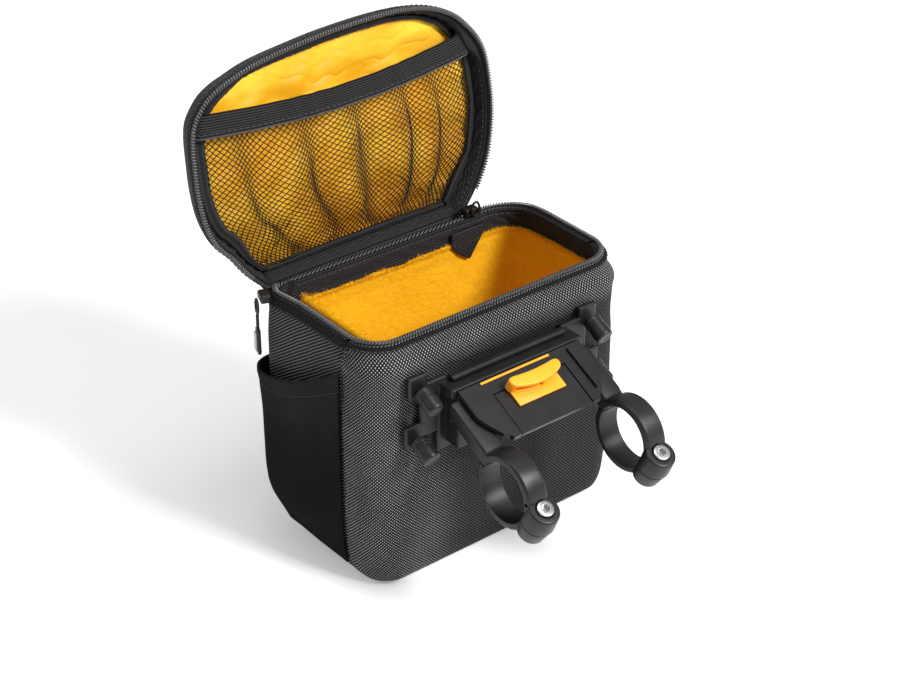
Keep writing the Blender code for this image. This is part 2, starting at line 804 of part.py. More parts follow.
def flat_piece(name, outline, low, high, surface, collection=None):
    """Outline of (x, along) points on the deck, between two heights off its surface.

    Points on the far edge (along zero) stay upright over each other, to clear the housing.
    """
    rings = []
    for rise in (low, high):
        lean = (high - rise) * math.tan(DECK_SLOPE)
        rings.append([tuple(deck_point(x, along or lean, rise)) for x, along in outline])
    return add_object(name, loft(name, rings), surface, collection)


def plate_block(name, half_width, back, front, low, high, collection=None, surface=None, bevel=0.0008):
    """Block on the plate: half width, distances out from the wall and heights, all about the mount."""
    size = (2 * half_width, front - back, high - low)
    centre = (MOUNT_X, PLATE_FACE - (front + back) / 2, (high + low) / 2)
    return box(name, size, centre, surface, None, bevel, collection)


def make_back_plate():
    """Plate on the rider's wall, with its housing, ledge, two wings and four ears as one moulding."""
    foot = LEDGE_TOP - 0.0390
    plate = plate_block(
        "back_plate", 0.0435, 0.0, 0.0040, foot, LEDGE_TOP - 0.0012, None, black_plastic(), 0.0010)
    blocks = (
        # name, half_width, back, front, low, high
        ("housing_block", 0.0385, 0.0012, 0.0138, LEDGE_TOP - 0.0350, LEDGE_TOP - 0.0030),
        ("ledge_block", 0.0422, 0.0018, 0.0134, LEDGE_TOP - 0.0052, LEDGE_TOP),
    )
    for row in blocks:
        combine(plate, plate_block(*row, CUTTERS), "UNION")
    depth = PLATE_FACE - EAR_BACK - EAR_THICKNESS / 2
    for side_tag, side in SIDES:
        wing = ("wing_" + side_tag, 0.0170, 0.0300, 0.0455, LEDGE_TOP - 0.0120)
        ears = [("ear_" + row[0] + "_" + side_tag, 0.0115, 0.0126, row[1], row[2]) for row in STUD_ROWS]
        for name, width, tall, out, height in [wing] + ears:
            place = (MOUNT_X + side * out, depth, height)
            ear = box(name, (width, EAR_THICKNESS, tall), place, None, None, 0.0010, CUTTERS)
            combine(plate, ear, "UNION")
    plate_block(
        "ledge_bar", 0.0370, 0.0030, 0.0076, LEDGE_TOP + GAP, LEDGE_TOP + GAP + 0.0030, None,
        black_plastic(), 0.0013)
    return plate


def make_studs():
    """Four grooved posts on the plate's ears, leaning down towards the rider."""
    turn = DOWN_SLOPE.to_track_quat("Z", "Y").to_matrix().to_4x4()
    for tag, out, height in STUD_ROWS:
        for side_tag, side in SIDES:
            foot = Vector((MOUNT_X + side * out, PLATE_FACE - EAR_BACK - EAR_THICKNESS - GAP, height))
            stand = STUD_RADIUS * math.tan(DECK_SLOPE)
            centre = foot + DOWN_SLOPE * (stand + STUD_LENGTH / 2)
            stud = cylinder(
                "stud_" + tag + "_" + side_tag, STUD_RADIUS, STUD_LENGTH, centre, turn, black_plastic(), 16)
            groove_at = centre - DOWN_SLOPE * (STUD_LENGTH * 0.12)
            ring_name = "groove_" + tag + "_" + side_tag
            groove = cylinder(ring_name, STUD_RADIUS * 1.2, 0.0009, groove_at, turn, None, 16, CUTTERS)
            core = cylinder(
                "core_" + tag + "_" + side_tag, STUD_RADIUS * 0.90, 0.002, groove_at, turn, None, 16, CUTTERS)
            combine(groove, core, "DIFFERENCE")
            combine(stud, groove, "DIFFERENCE")


def make_deck():
    """The sloped deck with chamfered near corners, open between its two slits."""
    half = DECK_HALF_WIDTH
    end = DECK_LENGTH
    slit = TONGUE_HALF_WIDTH
    throat = 0.0085
    wing = (
        (half, 0.0),
        (half, 0.0165),
        (half - 0.0020, 0.0215),
        (half - 0.0070, 0.0300),
        (slit + 0.0060, 0.0320),
        (slit + 0.0050, end),
        (slit + GAP, end),
        (slit + GAP, throat),
    )
    outline = list(wing) + [(-x, along) for x, along in wing[::-1]]
    deck = flat_piece("deck", outline, -DECK_THICKNESS, 0.0, black_plastic())
    rib = [(half - 0.0100, 0.0020), (half - 0.0006, 0.0040), (half - 0.0006, 0.0160), (half - 0.0095, 0.0280)]
    flat_piece("deck_rib", rib, GAP, 0.0016, black_plastic())
    stripe = [(-0.0262, 0.0008), (0.0178, 0.0008), (0.0178, 0.0020), (-0.0262, 0.0020)]
    flat_piece("deck_stripe", stripe, GAP, 0.0008, yellow_plastic())
    return deck


def make_release():
    """Sprung tongue in the deck and the yellow finger tab that lifts its far end."""
    end = DECK_LENGTH
    slit = TONGUE_HALF_WIDTH - GAP
    throat = 0.0085 + 2 * GAP
    outline = [(-slit, throat), (slit, throat), (slit, end), (-slit, end)]
    pivot = deck_point(0.0, end - 0.0010, -DECK_THICKNESS / 2)
    hinge = bpy.data.objects.new("release_pivot", None)
    hinge.location = pivot
    MODEL.objects.link(hinge)
    bpy.context.view_layer.update()
    tongue = flat_piece("release_tongue", outline, -DECK_THICKNESS + GAP, -GAP, black_plastic())
    tab = make_release_tab()
    for piece in (tongue, tab):
        piece.parent = hinge
        piece.matrix_parent_inverse = Matrix.Translation(-pivot)


def make_release_tab():
    """Flat foot plate with a bowed finger lip over a slot, parted by a small rib."""
    half = 0.0150
    foot = [(-half, 0.0110), (half, 0.0110), (half, 0.0205), (-half, 0.0205)]
    tab = flat_piece("release_tab", foot, 0.0, 0.0012, yellow_plastic())
    steps = 8
    bow = 0.0038
    front = []
    back = []
    for i in range(steps + 1):
        x = -half - 0.001 + 2 * (half + 0.001) * i / steps
        curve = bow * math.cos(math.pi * x / (2 * half + 0.004))
        front.append((x, 0.0120 + curve))
        back.append((x, 0.0066 + 0.35 * curve))
    lip = flat_piece("lip_block", front + back[::-1], 0.0002, 0.0076, None, CUTTERS)
    combine(tab, lip, "UNION")
    for side_tag, low, high in (("left", -half + 0.0012, 0.0022), ("right", 0.0036, half - 0.0012)):
        slot = [(low, 0.0096), (high, 0.0096), (high, 0.0240), (low, 0.0240)]
        cutter = flat_piece("finger_slot_" + side_tag, slot, 0.0026, 0.0056, None, CUTTERS)
        combine(tab, cutter, "DIFFERENCE")
    return tab


def clamp_turn():
    """Turn whose own Z is the bolt's axis and whose own X runs along the bar."""
    axes = Matrix.Identity(4)
    side = Vector((1.0, 0.0, 0.0))
    for column, way in enumerate((side, BOLT_WAY.cross(side), BOLT_WAY)):
        for row in range(3):
            axes[row][column] = way[row]
    return axes


def along_bar():
    return Matrix.Rotation(math.pi / 2, 4, "Y")


# Depth of an arm at the housing below the ledge, and of its heel beside the bar as a share of the clamp
ARM_DROP = 0.0350
ARM_HEEL = 0.58


def arm_outline():
    """Side view of one arm: under the deck from the housing, then over the bar's clamp, as (y, z) points."""
    start = HOUSING_FACE - 0.0006
    run = 0.0250
    top = LEDGE_TOP - 0.0050
    points = [
        (start, LEDGE_TOP - ARM_DROP),
        (start, top),
        (start - run, top - run * math.tan(DECK_SLOPE)),
    ]
    turns = 10
    for i in range(turns + 1):
        angle = math.radians(50.0 + 130.0 * i / turns)
        points.append((
            BAR_CENTRE.y + CLAMP_RADIUS * math.cos(angle),
            BAR_CENTRE.z + CLAMP_RADIUS * math.sin(angle),
        ))
    heel = CLAMP_RADIUS * ARM_HEEL
    points += [(BAR_CENTRE.y, BAR_CENTRE.z - heel / 3), (BAR_CENTRE.y + CLAMP_RADIUS, BAR_CENTRE.z - heel)]
    return points


def parting_cutter(name, x, sign):
    """Block on one side of the parting plane, set back by half the parting gap."""
    size = (0.060, 0.090, 0.050)
    centre = BAR_CENTRE + BOLT_WAY * (sign * size[2] / 2 - sign * PARTING / 2)
    centre = Vector((x, centre.y, centre.z))
    return box(name, size, centre, None, clamp_turn(), 0.0, CUTTERS)


def bar_cutter(name, x):
    centre = Vector((x, BAR_CENTRE.y, BAR_CENTRE.z))
    return cylinder(name, BAR_DIAMETER / 2 + GAP, 0.060, centre, along_bar(), None, 32, CUTTERS)


def bolt_point(x, along):
    """A point on a clamp bolt's axis, along it from the parting plane."""
    place = BAR_CENTRE + BOSS_WAY * BOLT_REACH + BOLT_WAY * along
    return Vector((x, place.y, place.z))


def make_bracket():
    """Both arms, their upper clamp halves and the cross beam as one moulding."""
    beam = box(
        "bracket",
        (2 * 0.0420, 0.0100, 0.0200),
        (MOUNT_X, HOUSING_FACE - 0.0058, LEDGE_TOP - 0.0210),
        black_plastic(),
        None,
        0.0010,
    )
    for tag, side in SIDES:
        outer = MOUNT_X + side * CLAMP_OUTER_HALF
        inner = MOUNT_X + side * (CLAMP_OUTER_HALF - CLAMP_WIDTH)
        arm = prism("arm_" + tag, arm_outline(), min(outer, inner), max(outer, inner), None, CUTTERS)
        add_bevel(arm, 0.0010)
        combine(beam, arm, "UNION")
        middle = MOUNT_X + side * (CLAMP_OUTER_HALF - CLAMP_WIDTH / 2)
        collar = cylinder(
            "collar_" + tag,
            CLAMP_RADIUS,
            CLAMP_WIDTH - 0.0004,
            Vector((middle, BAR_CENTRE.y, BAR_CENTRE.z)),
            along_bar(),
            None,
            32,
            CUTTERS,
        )
        combine(beam, collar, "UNION")
        bolt_x = MOUNT_X + side * BOLT_OFFSET
        boss = cylinder(
            "boss_" + tag, BOSS_RADIUS + 0.0010, 0.0110, bolt_point(bolt_x, 0.0055), clamp_turn(),
            None, 20, CUTTERS, BOSS_RADIUS)
        combine(beam, boss, "UNION")
        combine(beam, bar_cutter("bar_way_" + tag, middle), "DIFFERENCE")
        combine(beam, parting_cutter("below_" + tag, middle, -1), "DIFFERENCE")
        recess = cylinder(
            "recess_" + tag, BOLT_HEAD_RADIUS + 0.0006, 0.0080, bolt_point(bolt_x, 0.0075 + 0.0040),
            clamp_turn(), None, 16, CUTTERS)
        combine(beam, recess, "DIFFERENCE")
        shank_way = cylinder(
            "shank_way_" + tag, BOLT_SHANK_RADIUS + GAP, 0.040, bolt_point(bolt_x, 0.0),
            clamp_turn(), None, 10, CUTTERS)
        combine(beam, shank_way, "DIFFERENCE")
        make_clamp_cap(tag, middle, bolt_x)
        make_bolt(tag, bolt_x)
    return beam


def make_clamp_cap(tag, middle, bolt_x):
    """Loose lower half of a clamp, with its half of the bolt's boss."""
    cap = cylinder(
        "clamp_cap_" + tag,
        CLAMP_RADIUS,
        CLAMP_WIDTH - 0.0004,
        Vector((middle, BAR_CENTRE.y, BAR_CENTRE.z)),
        along_bar(),
        black_plastic(),
        32,
    )
    boss = cylinder(
        "cap_boss_" + tag, BOSS_RADIUS - 0.0010, 0.0105, bolt_point(bolt_x, -0.00525), clamp_turn(),
        None, 20, CUTTERS, BOSS_RADIUS + 0.0005)
    combine(cap, boss, "UNION")
    combine(cap, bar_cutter("cap_bar_way_" + tag, middle), "DIFFERENCE")
    combine(cap, parting_cutter("above_" + tag, middle, 1), "DIFFERENCE")
    shank_way = cylinder(
        "cap_shank_way_" + tag, BOLT_SHANK_RADIUS + GAP, 0.040, bolt_point(bolt_x, 0.0),
        clamp_turn(), None, 16, CUTTERS)
    combine(cap, shank_way, "DIFFERENCE")


def make_bolt(tag, bolt_x):
    """Socket-head bolt through both halves of a clamp."""
    seat = 0.0075 + GAP
    head_height = 0.0045
    bolt = cylinder(
        "clamp_bolt_" + tag, BOLT_HEAD_RADIUS, head_height, bolt_point(bolt_x, seat + head_height / 2),
        clamp_turn(), steel(), 24)
    shank = cylinder(
        "shank_" + tag, BOLT_SHANK_RADIUS, 0.0180, bolt_point(bolt_x, seat - 0.0080), clamp_turn(),
        None, 16, CUTTERS)
    combine(bolt, shank, "UNION")
    socket = cylinder(
        "socket_" + tag, 0.0024, 0.0050, bolt_point(bolt_x, seat + head_height), clamp_turn(),
        None, 6, CUTTERS)
    combine(bolt, socket, "DIFFERENCE")


def main():
    clear_scene()
    make_body()
    make_rim_facing()
    make_rim_band()
    make_rim_coil()
    make_pocket("side_pocket_left", -1)
    make_pocket("side_pocket_right", 1)
    make_divider()
    make_lid_shell()
    make_lid_lining()
    make_lid_facing()
    make_lid_coil()
    make_lid_net()
    make_lid_elastic()
    make_hinge()
    make_gusset()
    make_left_slider()
    make_right_slider()
    make_back_plate()
    make_studs()
    make_deck()
    make_release()
    make_bracket()


main()
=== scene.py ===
"""Look of the handlebar bag: detailed cloth, net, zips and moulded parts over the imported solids."""
import math

import bmesh
import bpy
import numpy as np
from mathutils import Matrix, Vector


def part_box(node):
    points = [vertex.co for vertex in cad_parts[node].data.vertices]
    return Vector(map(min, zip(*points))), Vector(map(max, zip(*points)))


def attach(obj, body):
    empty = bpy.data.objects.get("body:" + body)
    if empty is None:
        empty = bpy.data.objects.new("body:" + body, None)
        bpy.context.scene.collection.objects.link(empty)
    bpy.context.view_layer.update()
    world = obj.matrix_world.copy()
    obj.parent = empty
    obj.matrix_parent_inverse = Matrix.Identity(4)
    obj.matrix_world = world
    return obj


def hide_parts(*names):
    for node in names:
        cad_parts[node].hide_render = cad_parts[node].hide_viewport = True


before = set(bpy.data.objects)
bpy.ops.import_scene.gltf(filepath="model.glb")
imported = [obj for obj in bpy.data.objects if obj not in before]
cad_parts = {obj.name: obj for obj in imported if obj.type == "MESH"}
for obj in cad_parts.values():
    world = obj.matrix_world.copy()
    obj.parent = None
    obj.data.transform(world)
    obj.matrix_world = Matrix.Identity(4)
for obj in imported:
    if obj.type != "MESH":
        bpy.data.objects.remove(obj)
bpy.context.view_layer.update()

# Sizes shared with the solids, in metres
BAG_WIDTH = 0.168
BAG_DEPTH = 0.093
BAG_HEIGHT = 0.144
WALL = 0.003
LINING = 0.0018
TAPE = 0.0008
COIL = 0.0013
GAP = 0.0003
RIM_DROP = 0.003
FAR_SKEW = 0.0035
RIM_BAND_HEIGHT = 0.0055
RIM_BAND_NEAR = 0.0021
RIM_FACING_HEIGHT = 0.0135
LID_WIDTH = 0.1886
LID_LENGTH = 0.127
LID_SKIRT = 0.0135
LID_WALL = 0.0022
LID_TILT = math.radians(5.0)
LID_SHIFT = -0.0195
LID_FOOT = 0.004
ELASTIC_WIDTH = 0.0115
SEAM_Y = -0.026 * 0.93

# Outline of the bag: shares of height, half width and depth, as in the solids
SECTIONS = np.array((
    # height, half_width, near, far, near_radius, far_radius
    (0.000, 0.870, -0.455, 0.150, 0.130, 0.120),
    (0.025, 0.930, -0.502, 0.285, 0.160, 0.170),
    (0.081, 0.965, -0.520, 0.385, 0.190, 0.200),
    (0.172, 0.985, -0.526, 0.448, 0.200, 0.220),
    (0.289, 0.995, -0.530, 0.470, 0.200, 0.230),
    (0.792, 1.000, -0.530, 0.473, 0.200, 0.230),
    (0.901, 0.992, -0.524, 0.473, 0.200, 0.230),
    (0.950, 0.976, -0.497, 0.471, 0.200, 0.225),
    (0.9865, 0.962, -0.474, 0.468, 0.205, 0.220),
))
LEFT_FAR_SHARE = 0.62
RIM = SECTIONS[-1][0] * BAG_HEIGHT

LID_OUTLINE = np.array((
    # across (share of half LID_WIDTH), up (share of LID_LENGTH)
    (-0.600, 0.000), (-0.722, 0.092), (-0.806, 0.180), (-0.900, 0.263), (-0.955, 0.365),
    (-0.980, 0.484), (-0.986, 0.616), (-0.980, 0.716), (-0.955, 0.790), (-0.879, 0.861),
    (-0.800, 0.899), (-0.709, 0.924), (-0.515, 0.961), (-0.120, 0.993), (0.283, 1.000),
    (0.480, 0.985), (0.627, 0.955), (0.750, 0.908), (0.838, 0.849), (0.930, 0.760),
    (0.978, 0.655), (1.000, 0.470), (0.982, 0.335), (0.942, 0.225), (0.857, 0.110),
    (0.740, 0.000),
))
LID_PROFILE = (
    # depth (share of LID_SKIRT), inset
    (1.00, 0.0075), (0.90, 0.0044), (0.70, 0.0024), (0.35, 0.0008), (0.00, 0.0000),
)
LID_FLOOR = LID_SKIRT - LID_WALL - GAP


# Shader building

class Look:
    """A Principled material with small helpers to wire procedural detail into it."""

    def __init__(self, name, roughness=0.8, metallic=0.0, sheen=0.0, specular=0.5):
        self.made = bpy.data.materials.new(name)
        self.made.use_nodes = True
        self.tree = self.made.node_tree
        self.shader = self.tree.nodes["Principled BSDF"]
        self.put("Roughness", roughness)
        self.put("Metallic", metallic)
        self.put("Sheen Weight", sheen)
        self.put("Specular IOR Level", specular)
        self.made["look"] = name

    def put(self, socket, value):
        if isinstance(value, bpy.types.NodeSocket):
            self.tree.links.new(value, self.shader.inputs[socket])
        else:
            self.shader.inputs[socket].default_value = value

    def node(self, kind, **settings):
        made = self.tree.nodes.new(kind)
        for key, value in settings.items():
            setattr(made, key, value)
        return made

    def feed(self, socket, value):
        if isinstance(value, bpy.types.NodeSocket):
            self.tree.links.new(value, socket)
        else:
            socket.default_value = value

    def math(self, operation, a, b=0.0, c=0.0):
        made = self.node("ShaderNodeMath", operation=operation)
        for socket, value in zip(made.inputs, (a, b, c)):
            self.feed(socket, value)
        return made.outputs[0]

    def times(self, a, b):
        return self.math("MULTIPLY", a, b)

    def times_plus(self, a, b, c):
        return self.math("MULTIPLY_ADD", a, b, c)

    def uv(self):
        """Lengths along the cloth in metres, which grain() reads too."""
        made = self.node("ShaderNodeUVMap", uv_map="cloth")
        parts = self.split(made.outputs[0])
        self.cloth = self.join(parts[0], parts[1])
        return parts

    def grain(self, scale, detail=3.0, roughness=0.55):
        return self.noise(self.cloth, scale, detail, roughness)

    def place(self):
        made = self.node("ShaderNodeTexCoord")
        return made.outputs["Object"]

    def split(self, vector):
        made = self.node("ShaderNodeSeparateXYZ")
        self.feed(made.inputs[0], vector)
        return made.outputs

    def join(self, x, y):
        made = self.node("ShaderNodeCombineXYZ")
        for socket, value in zip(made.inputs, (x, y)):
            self.feed(socket, value)
        return made.outputs[0]

    def noise(self, vector, scale, detail=3.0, roughness=0.55):
        made = self.node("ShaderNodeTexNoise")
        self.feed(made.inputs["Vector"], vector)
        made.inputs["Scale"].default_value = scale
        made.inputs["Detail"].default_value = detail
        made.inputs["Roughness"].default_value = roughness
        return made.outputs["Fac"]

    def ramp(self, value, low, high, start=0.0, end=1.0):
        made = self.node("ShaderNodeMapRange", interpolation_type="SMOOTHSTEP")
        for socket, item in zip(made.inputs, (value, low, high, start, end)):
            self.feed(socket, item)
        return made.outputs[0]

    def mix(self, share, first, second):
        made = self.node("ShaderNodeMix", data_type="RGBA")
        self.feed(made.inputs[0], share)
        for socket, value in ((made.inputs[6], first), (made.inputs[7], second)):
            self.feed(socket, (*value, 1.0) if isinstance(value, tuple) else value)
        return made.outputs[2]

    def soft_edge(self, radius):
        made = self.node("ShaderNodeBevel", samples=4)
        made.inputs["Radius"].default_value = radius
        return made.outputs[0]

    def bump(self, height, distance, strength=1.0, normal=None):
        made = self.node("ShaderNodeBump")
        made.inputs["Strength"].default_value = strength
        made.inputs["Distance"].default_value = distance
        self.feed(made.inputs["Height"], height)
        if normal:
            self.feed(made.inputs["Normal"], normal)
        return made.outputs[0]


def wave(look, value, pitch):
    """Sine of value with one whole period over pitch (values in metres)."""
    return look.math("SINE", look.times(value, 2 * math.pi / pitch))


def ballistic_look():
    """Coarse two-tone weave with a painted highlight: lighter towards the left side and towards the rim."""
    look = Look("ballistic_weave", 0.72, specular=0.22)
    u, v, _ = look.uv()
    wobble = look.grain(90.0, 2.0)
    v2 = look.times_plus(wobble, 0.0004, v)
    pitch = 0.00185
    first = wave(look, look.math("ADD", u, v2), pitch)
    second = wave(look, look.math("SUBTRACT", u, v2), pitch)
    cells = look.times(look.ramp(first, -0.35, 0.80), look.ramp(second, -0.35, 0.80))
    thread = look.grain(1400.0, 2.0)
    tone = look.times(cells, look.ramp(thread, 0.2, 0.8, 0.6, 1.15))
    worn = look.grain(30.0, 3.0)
    tone = look.times(tone, look.ramp(worn, 0.3, 0.7, 0.78, 1.1))
    # Painted highlight: the weave's colour is lightened towards the left side and towards the rim, standing
    # in for light catching it there.
    x, _, z = look.split(look.place())
    painted_left_highlight = look.ramp(x, -0.062, -0.020, 1.0, 0.20)
    sheen = look.math("MAXIMUM", painted_left_highlight, look.ramp(z, 0.117, 0.128, 0.0, 0.90))
    tone = look.times(tone, sheen)
    look.put("Base Color", look.mix(tone, (0.0010, 0.0010, 0.0012), (0.47, 0.47, 0.485)))
    look.put("Roughness", look.times_plus(cells, -0.22, 0.80))
    height = look.times_plus(thread, 0.25, cells)
    look.put("Normal", look.bump(height, 0.0004, 0.8))
    return look.made


def ribbed_look(name="ribbed_cloth", slant=-0.69, pitch=0.0019, light=0.155):
    """Fine cloth with slanting light ribs; slant is the ribs' rise over their run."""
    look = Look(name, 0.75, specular=0.16)
    u, v, _ = look.uv()
    bend = look.grain(28.0, 2.0)
    line = look.times_plus(u, slant, v)
    line = look.times_plus(bend, 0.0016, line)
    rib = look.ramp(wave(look, line, pitch), -0.2, 0.9)
    cross = look.ramp(wave(look, look.times_plus(v, -0.4, u), 0.0007), -0.9, 0.9)
    fine = look.grain(1500.0, 2.0)
    tone = look.times(rib, look.times_plus(cross, 0.12, 0.88))
    tone = look.times(tone, look.ramp(fine, 0.25, 0.75, 0.6, 1.1))
    look.put("Base Color", look.mix(tone, (0.0015, 0.0015, 0.002), (light, light, light * 1.05)))
    look.put("Normal", look.bump(look.times_plus(fine, 0.3, rib), 0.0003, 0.8))
    return look.made


def plain_look():
    """Plain fine black cloth with a light fleck and soft creases."""
    look = Look("plain_cloth", 0.82, specular=0.14)
    u, v, _ = look.uv()
    warp = look.ramp(wave(look, u, 0.0009), -0.9, 0.9)
    weft = look.ramp(wave(look, v, 0.0009), -0.9, 0.9)
    cells = look.times(warp, weft)
    fine = look.grain(1800.0, 3.0, 0.7)
    fleck = look.times(look.ramp(fine, 0.42, 0.75), look.times_plus(cells, 0.6, 0.4))
    look.put("Base Color", look.mix(fleck, (0.002, 0.002, 0.0025), (0.0455, 0.0455, 0.04795)))
    soft = look.grain(140.0, 3.0)
    height = look.times_plus(soft, 1.2, look.times_plus(fine, 0.5, cells))
    look.put("Normal", look.bump(height, 0.00018, 0.8))
    return look.made


def knit_look():
    """Dull stretch knit, a little lighter towards the pocket's mouth."""
    look = Look("stretch_knit", 0.95, sheen=0.005, specular=0.03)
    u, v, _ = look.uv()
    loops = wave(look, look.math("ADD", u, look.times(wave(look, v, 0.0009), 0.00015)), 0.00075)
    fine = look.grain(1600.0, 3.0, 0.7)
    large = look.grain(45.0, 3.0)
    tone = look.times_plus(fine, 0.6, look.times(large, 0.5))
    tone = look.times(tone, look.ramp(v, 0.045, 0.090, 0.6, 1.5))
    look.put("Base Color", look.mix(tone, (0.0018, 0.0018, 0.002), (0.022, 0.022, 0.0235)))
    look.put("Normal", look.bump(look.times_plus(fine, 0.8, loops), 0.00012, 0.7))
    return look.made


def tape_look():
    """Woven zip tape: fine cross ribs with a lighter fleck."""
    look = Look("zip_tape", 0.78, specular=0.14)
    u, v, _ = look.uv()
    across = look.ramp(wave(look, u, 0.0010), -0.9, 0.9)
    along = look.ramp(wave(look, v, 0.0016), -0.9, 0.9)
    fine = look.grain(1500.0, 3.0, 0.65)
    tone = look.times(look.times_plus(across, 0.5, look.times(along, 0.5)), fine)
    look.put("Base Color", look.mix(tone, (0.003, 0.003, 0.0035), (0.075, 0.075, 0.080)))
    soft = look.grain(170.0, 3.0)
    height = look.times_plus(soft, 1.5, look.math("ADD", across, along))
    look.put("Normal", look.bump(height, 0.0002, 0.8))
    return look.made


def elastic_look():
    """Elastic and webbing: nine fine ribs crossed by lighter threads."""
    look = Look("ribbed_elastic", 0.74, specular=0.16)
    u, v, _ = look.uv()
    thread = look.ramp(wave(look, u, 0.00085), -0.9, 0.9)
    fine = look.grain(1500.0, 3.0)
    rib = look.ramp(wave(look, v, ELASTIC_WIDTH / 9), -0.9, 0.7)
    tone = look.times(look.times_plus(thread, 0.55, 0.45), look.times(fine, rib))
    look.put("Base Color", look.mix(tone, (0.002, 0.002, 0.0025), (0.100, 0.096, 0.096)))
    look.put("Normal", look.bump(look.times_plus(thread, 0.6, rib), 0.00025, 0.9))
    return look.made


def fleece_look():
    """Yellow fleece with soft lumps."""
    look = Look("yellow_fleece", 0.95, sheen=0.12, specular=0.1)
    look.shader.inputs["Sheen Tint"].default_value = (1.0, 0.62, 0.10, 1.0)
    look.uv()
    lumps = look.grain(260.0, 4.0, 0.7)
    fine = look.grain(1500.0, 3.0, 0.7)
    wide = look.grain(28.0, 2.0)
    tone = look.times_plus(lumps, 0.6, look.times(wide, 0.5))
    look.put("Base Color", look.mix(tone, (0.76, 0.31, 0.003), (0.98, 0.58, 0.018)))
    look.put("Normal", look.bump(look.times_plus(fine, 0.5, lumps), 0.0011, 0.9))
    return look.made


def nylon_look():
    """Thin yellow nylon, creased, with painted highlights in large pale patches, and a painted shade that
    deepens its colour towards the foot of the net pocket.
    """
    look = Look("yellow_nylon", 0.45, specular=0.32)
    u, v, _ = look.uv()
    crease = look.noise(look.join(u, look.times(v, 1.6)), 30.0, 2.0, 0.5)
    ridge = look.math("POWER", look.math("ABSOLUTE", look.math("SUBTRACT", crease, 0.5)), 0.7)
    fine = look.times(wave(look, u, 0.0006), wave(look, v, 0.0006))
    wide = look.grain(22.0, 2.0)
    # Painted highlight: large random pale patches lighten the nylon's colour.
    pale = look.ramp(wide, 0.35, 0.68)
    bright = look.mix(pale, (0.80, 0.36, 0.003), (0.93, 0.54, 0.030))
    # Painted shade: the colour deepens towards the foot of the net pocket, standing in for the shade that the
    # net casts on the nylon.
    deep = look.mix(pale, (0.60, 0.20, 0.001), (0.92, 0.42, 0.006))
    below = look.ramp(look.times_plus(wide, 0.03, v), 0.005, 0.075, 1.0, 0.0)
    look.put("Base Color", look.mix(below, bright, deep))
    height = look.times_plus(fine, 0.008, look.times(ridge, -1.0))
    look.put("Normal", look.bump(height, 0.006, 0.55))
    return look.made


def grained_look(name, roughness, specular, scale, detail, dark, light, depth, strength):
    """Plain material with one fine grain in its colour and relief."""
    look = Look(name, roughness, specular=specular)
    fine = look.noise(look.place(), scale, detail)
    look.put("Base Color", look.mix(fine, dark, light))
    look.put("Normal", look.bump(fine, depth, strength))
    return look.made


def moulded_look(name, dark, light, roughness, grain, specular=0.5):
    """Fine-grained moulding with softened edges, faint flow marks and handling scuffs."""
    look = Look(name, roughness, specular=specular)
    place = look.place()
    grainy = look.noise(place, 2600.0, 2.0)
    cloudy = look.noise(place, 60.0, 4.0)
    scuff = look.ramp(look.noise(place, 420.0, 5.0, 0.7), 0.60, 0.78)
    look.put("Base Color", look.mix(look.times_plus(scuff, 0.35, look.times(cloudy, 0.6)), dark, light))
    look.put("Roughness", look.times_plus(cloudy, 0.16, look.times_plus(scuff, 0.1, roughness - 0.06)))
    look.put("Normal", look.bump(grainy, grain, 0.6, look.soft_edge(0.0005)))
    return look.made


def steel_look():
    """Bright turned steel."""
    look = Look("bolt_steel", 0.26, metallic=1.0)
    place = look.place()
    turned = look.noise(place, 900.0, 3.0)
    cloudy = look.noise(place, 160.0, 3.0)
    look.put("Base Color", look.mix(cloudy, (0.50, 0.50, 0.49), (0.74, 0.74, 0.73)))
    look.put("Roughness", look.times_plus(cloudy, 0.22, 0.16))
    look.put("Normal", look.bump(turned, 0.00004, 0.5, look.soft_edge(0.0004)))
    return look.made


LOOKS = {
    "ballistic": ballistic_look(),
    "ribbed": ribbed_look(),
    "lid_ribbed": ribbed_look("lid_cloth", 0.8, 0.0012, 0.140),
    "plain": plain_look(),
    "knit": knit_look(),
    "tape": tape_look(),
    "elastic": elastic_look(),
    "fleece": fleece_look(),
    "nylon": nylon_look(),
    "strand": grained_look("net_strand", 0.7, 0.12, 1400.0, 2.0,
                           (0.004, 0.0035, 0.003), (0.030, 0.025, 0.020), 0.0002, 0.6),
    "coil": grained_look("zip_coil", 0.30, 0.75, 900.0, 2.0,
                         (0.012, 0.012, 0.013), (0.130, 0.130, 0.138), 0.0001, 0.4),
    "thread": grained_look("black_thread", 0.6, 0.25, 2500.0, 2.0,
                           (0.015, 0.015, 0.016), (0.085, 0.085, 0.09), 0.00015, 0.6),
    "plastic": moulded_look("black_moulding", (0.005, 0.005, 0.0055), (0.017, 0.017, 0.0185),
                            0.38, 0.00006, 0.34),
    "yellow": moulded_look("yellow_moulding", (0.90, 0.32, 0.004), (0.96, 0.40, 0.012), 0.42, 0.00004),
    "steel": steel_look(),
    "reflective": grained_look("reflective_inlay", 0.35, 0.6, 3500.0, 1.0,
                               (0.33, 0.34, 0.35), (0.62, 0.63, 0.64), 0.00005, 0.5),
}


# Mesh building

def smooth_noise(points, scale, seed=0.0):
    """Cheap smooth pseudo-random field in -1..1 from summed sines at (n, 3) points in metres."""
    total = np.zeros(len(points))
    state = np.random.default_rng(int(seed * 10) + 11)
    for octave in range(4):
        way = state.normal(size=(5, 3))
        phase = state.uniform(0, 2 * math.pi, 5)
        for row, shift in zip(way, phase):
            total += np.sin(points @ row * (scale * 1.7 ** octave) + shift) / (1.6 ** octave)
    return total / 7.0


def unit(rows):
    return rows / np.linalg.norm(rows, axis=1)[:, None]


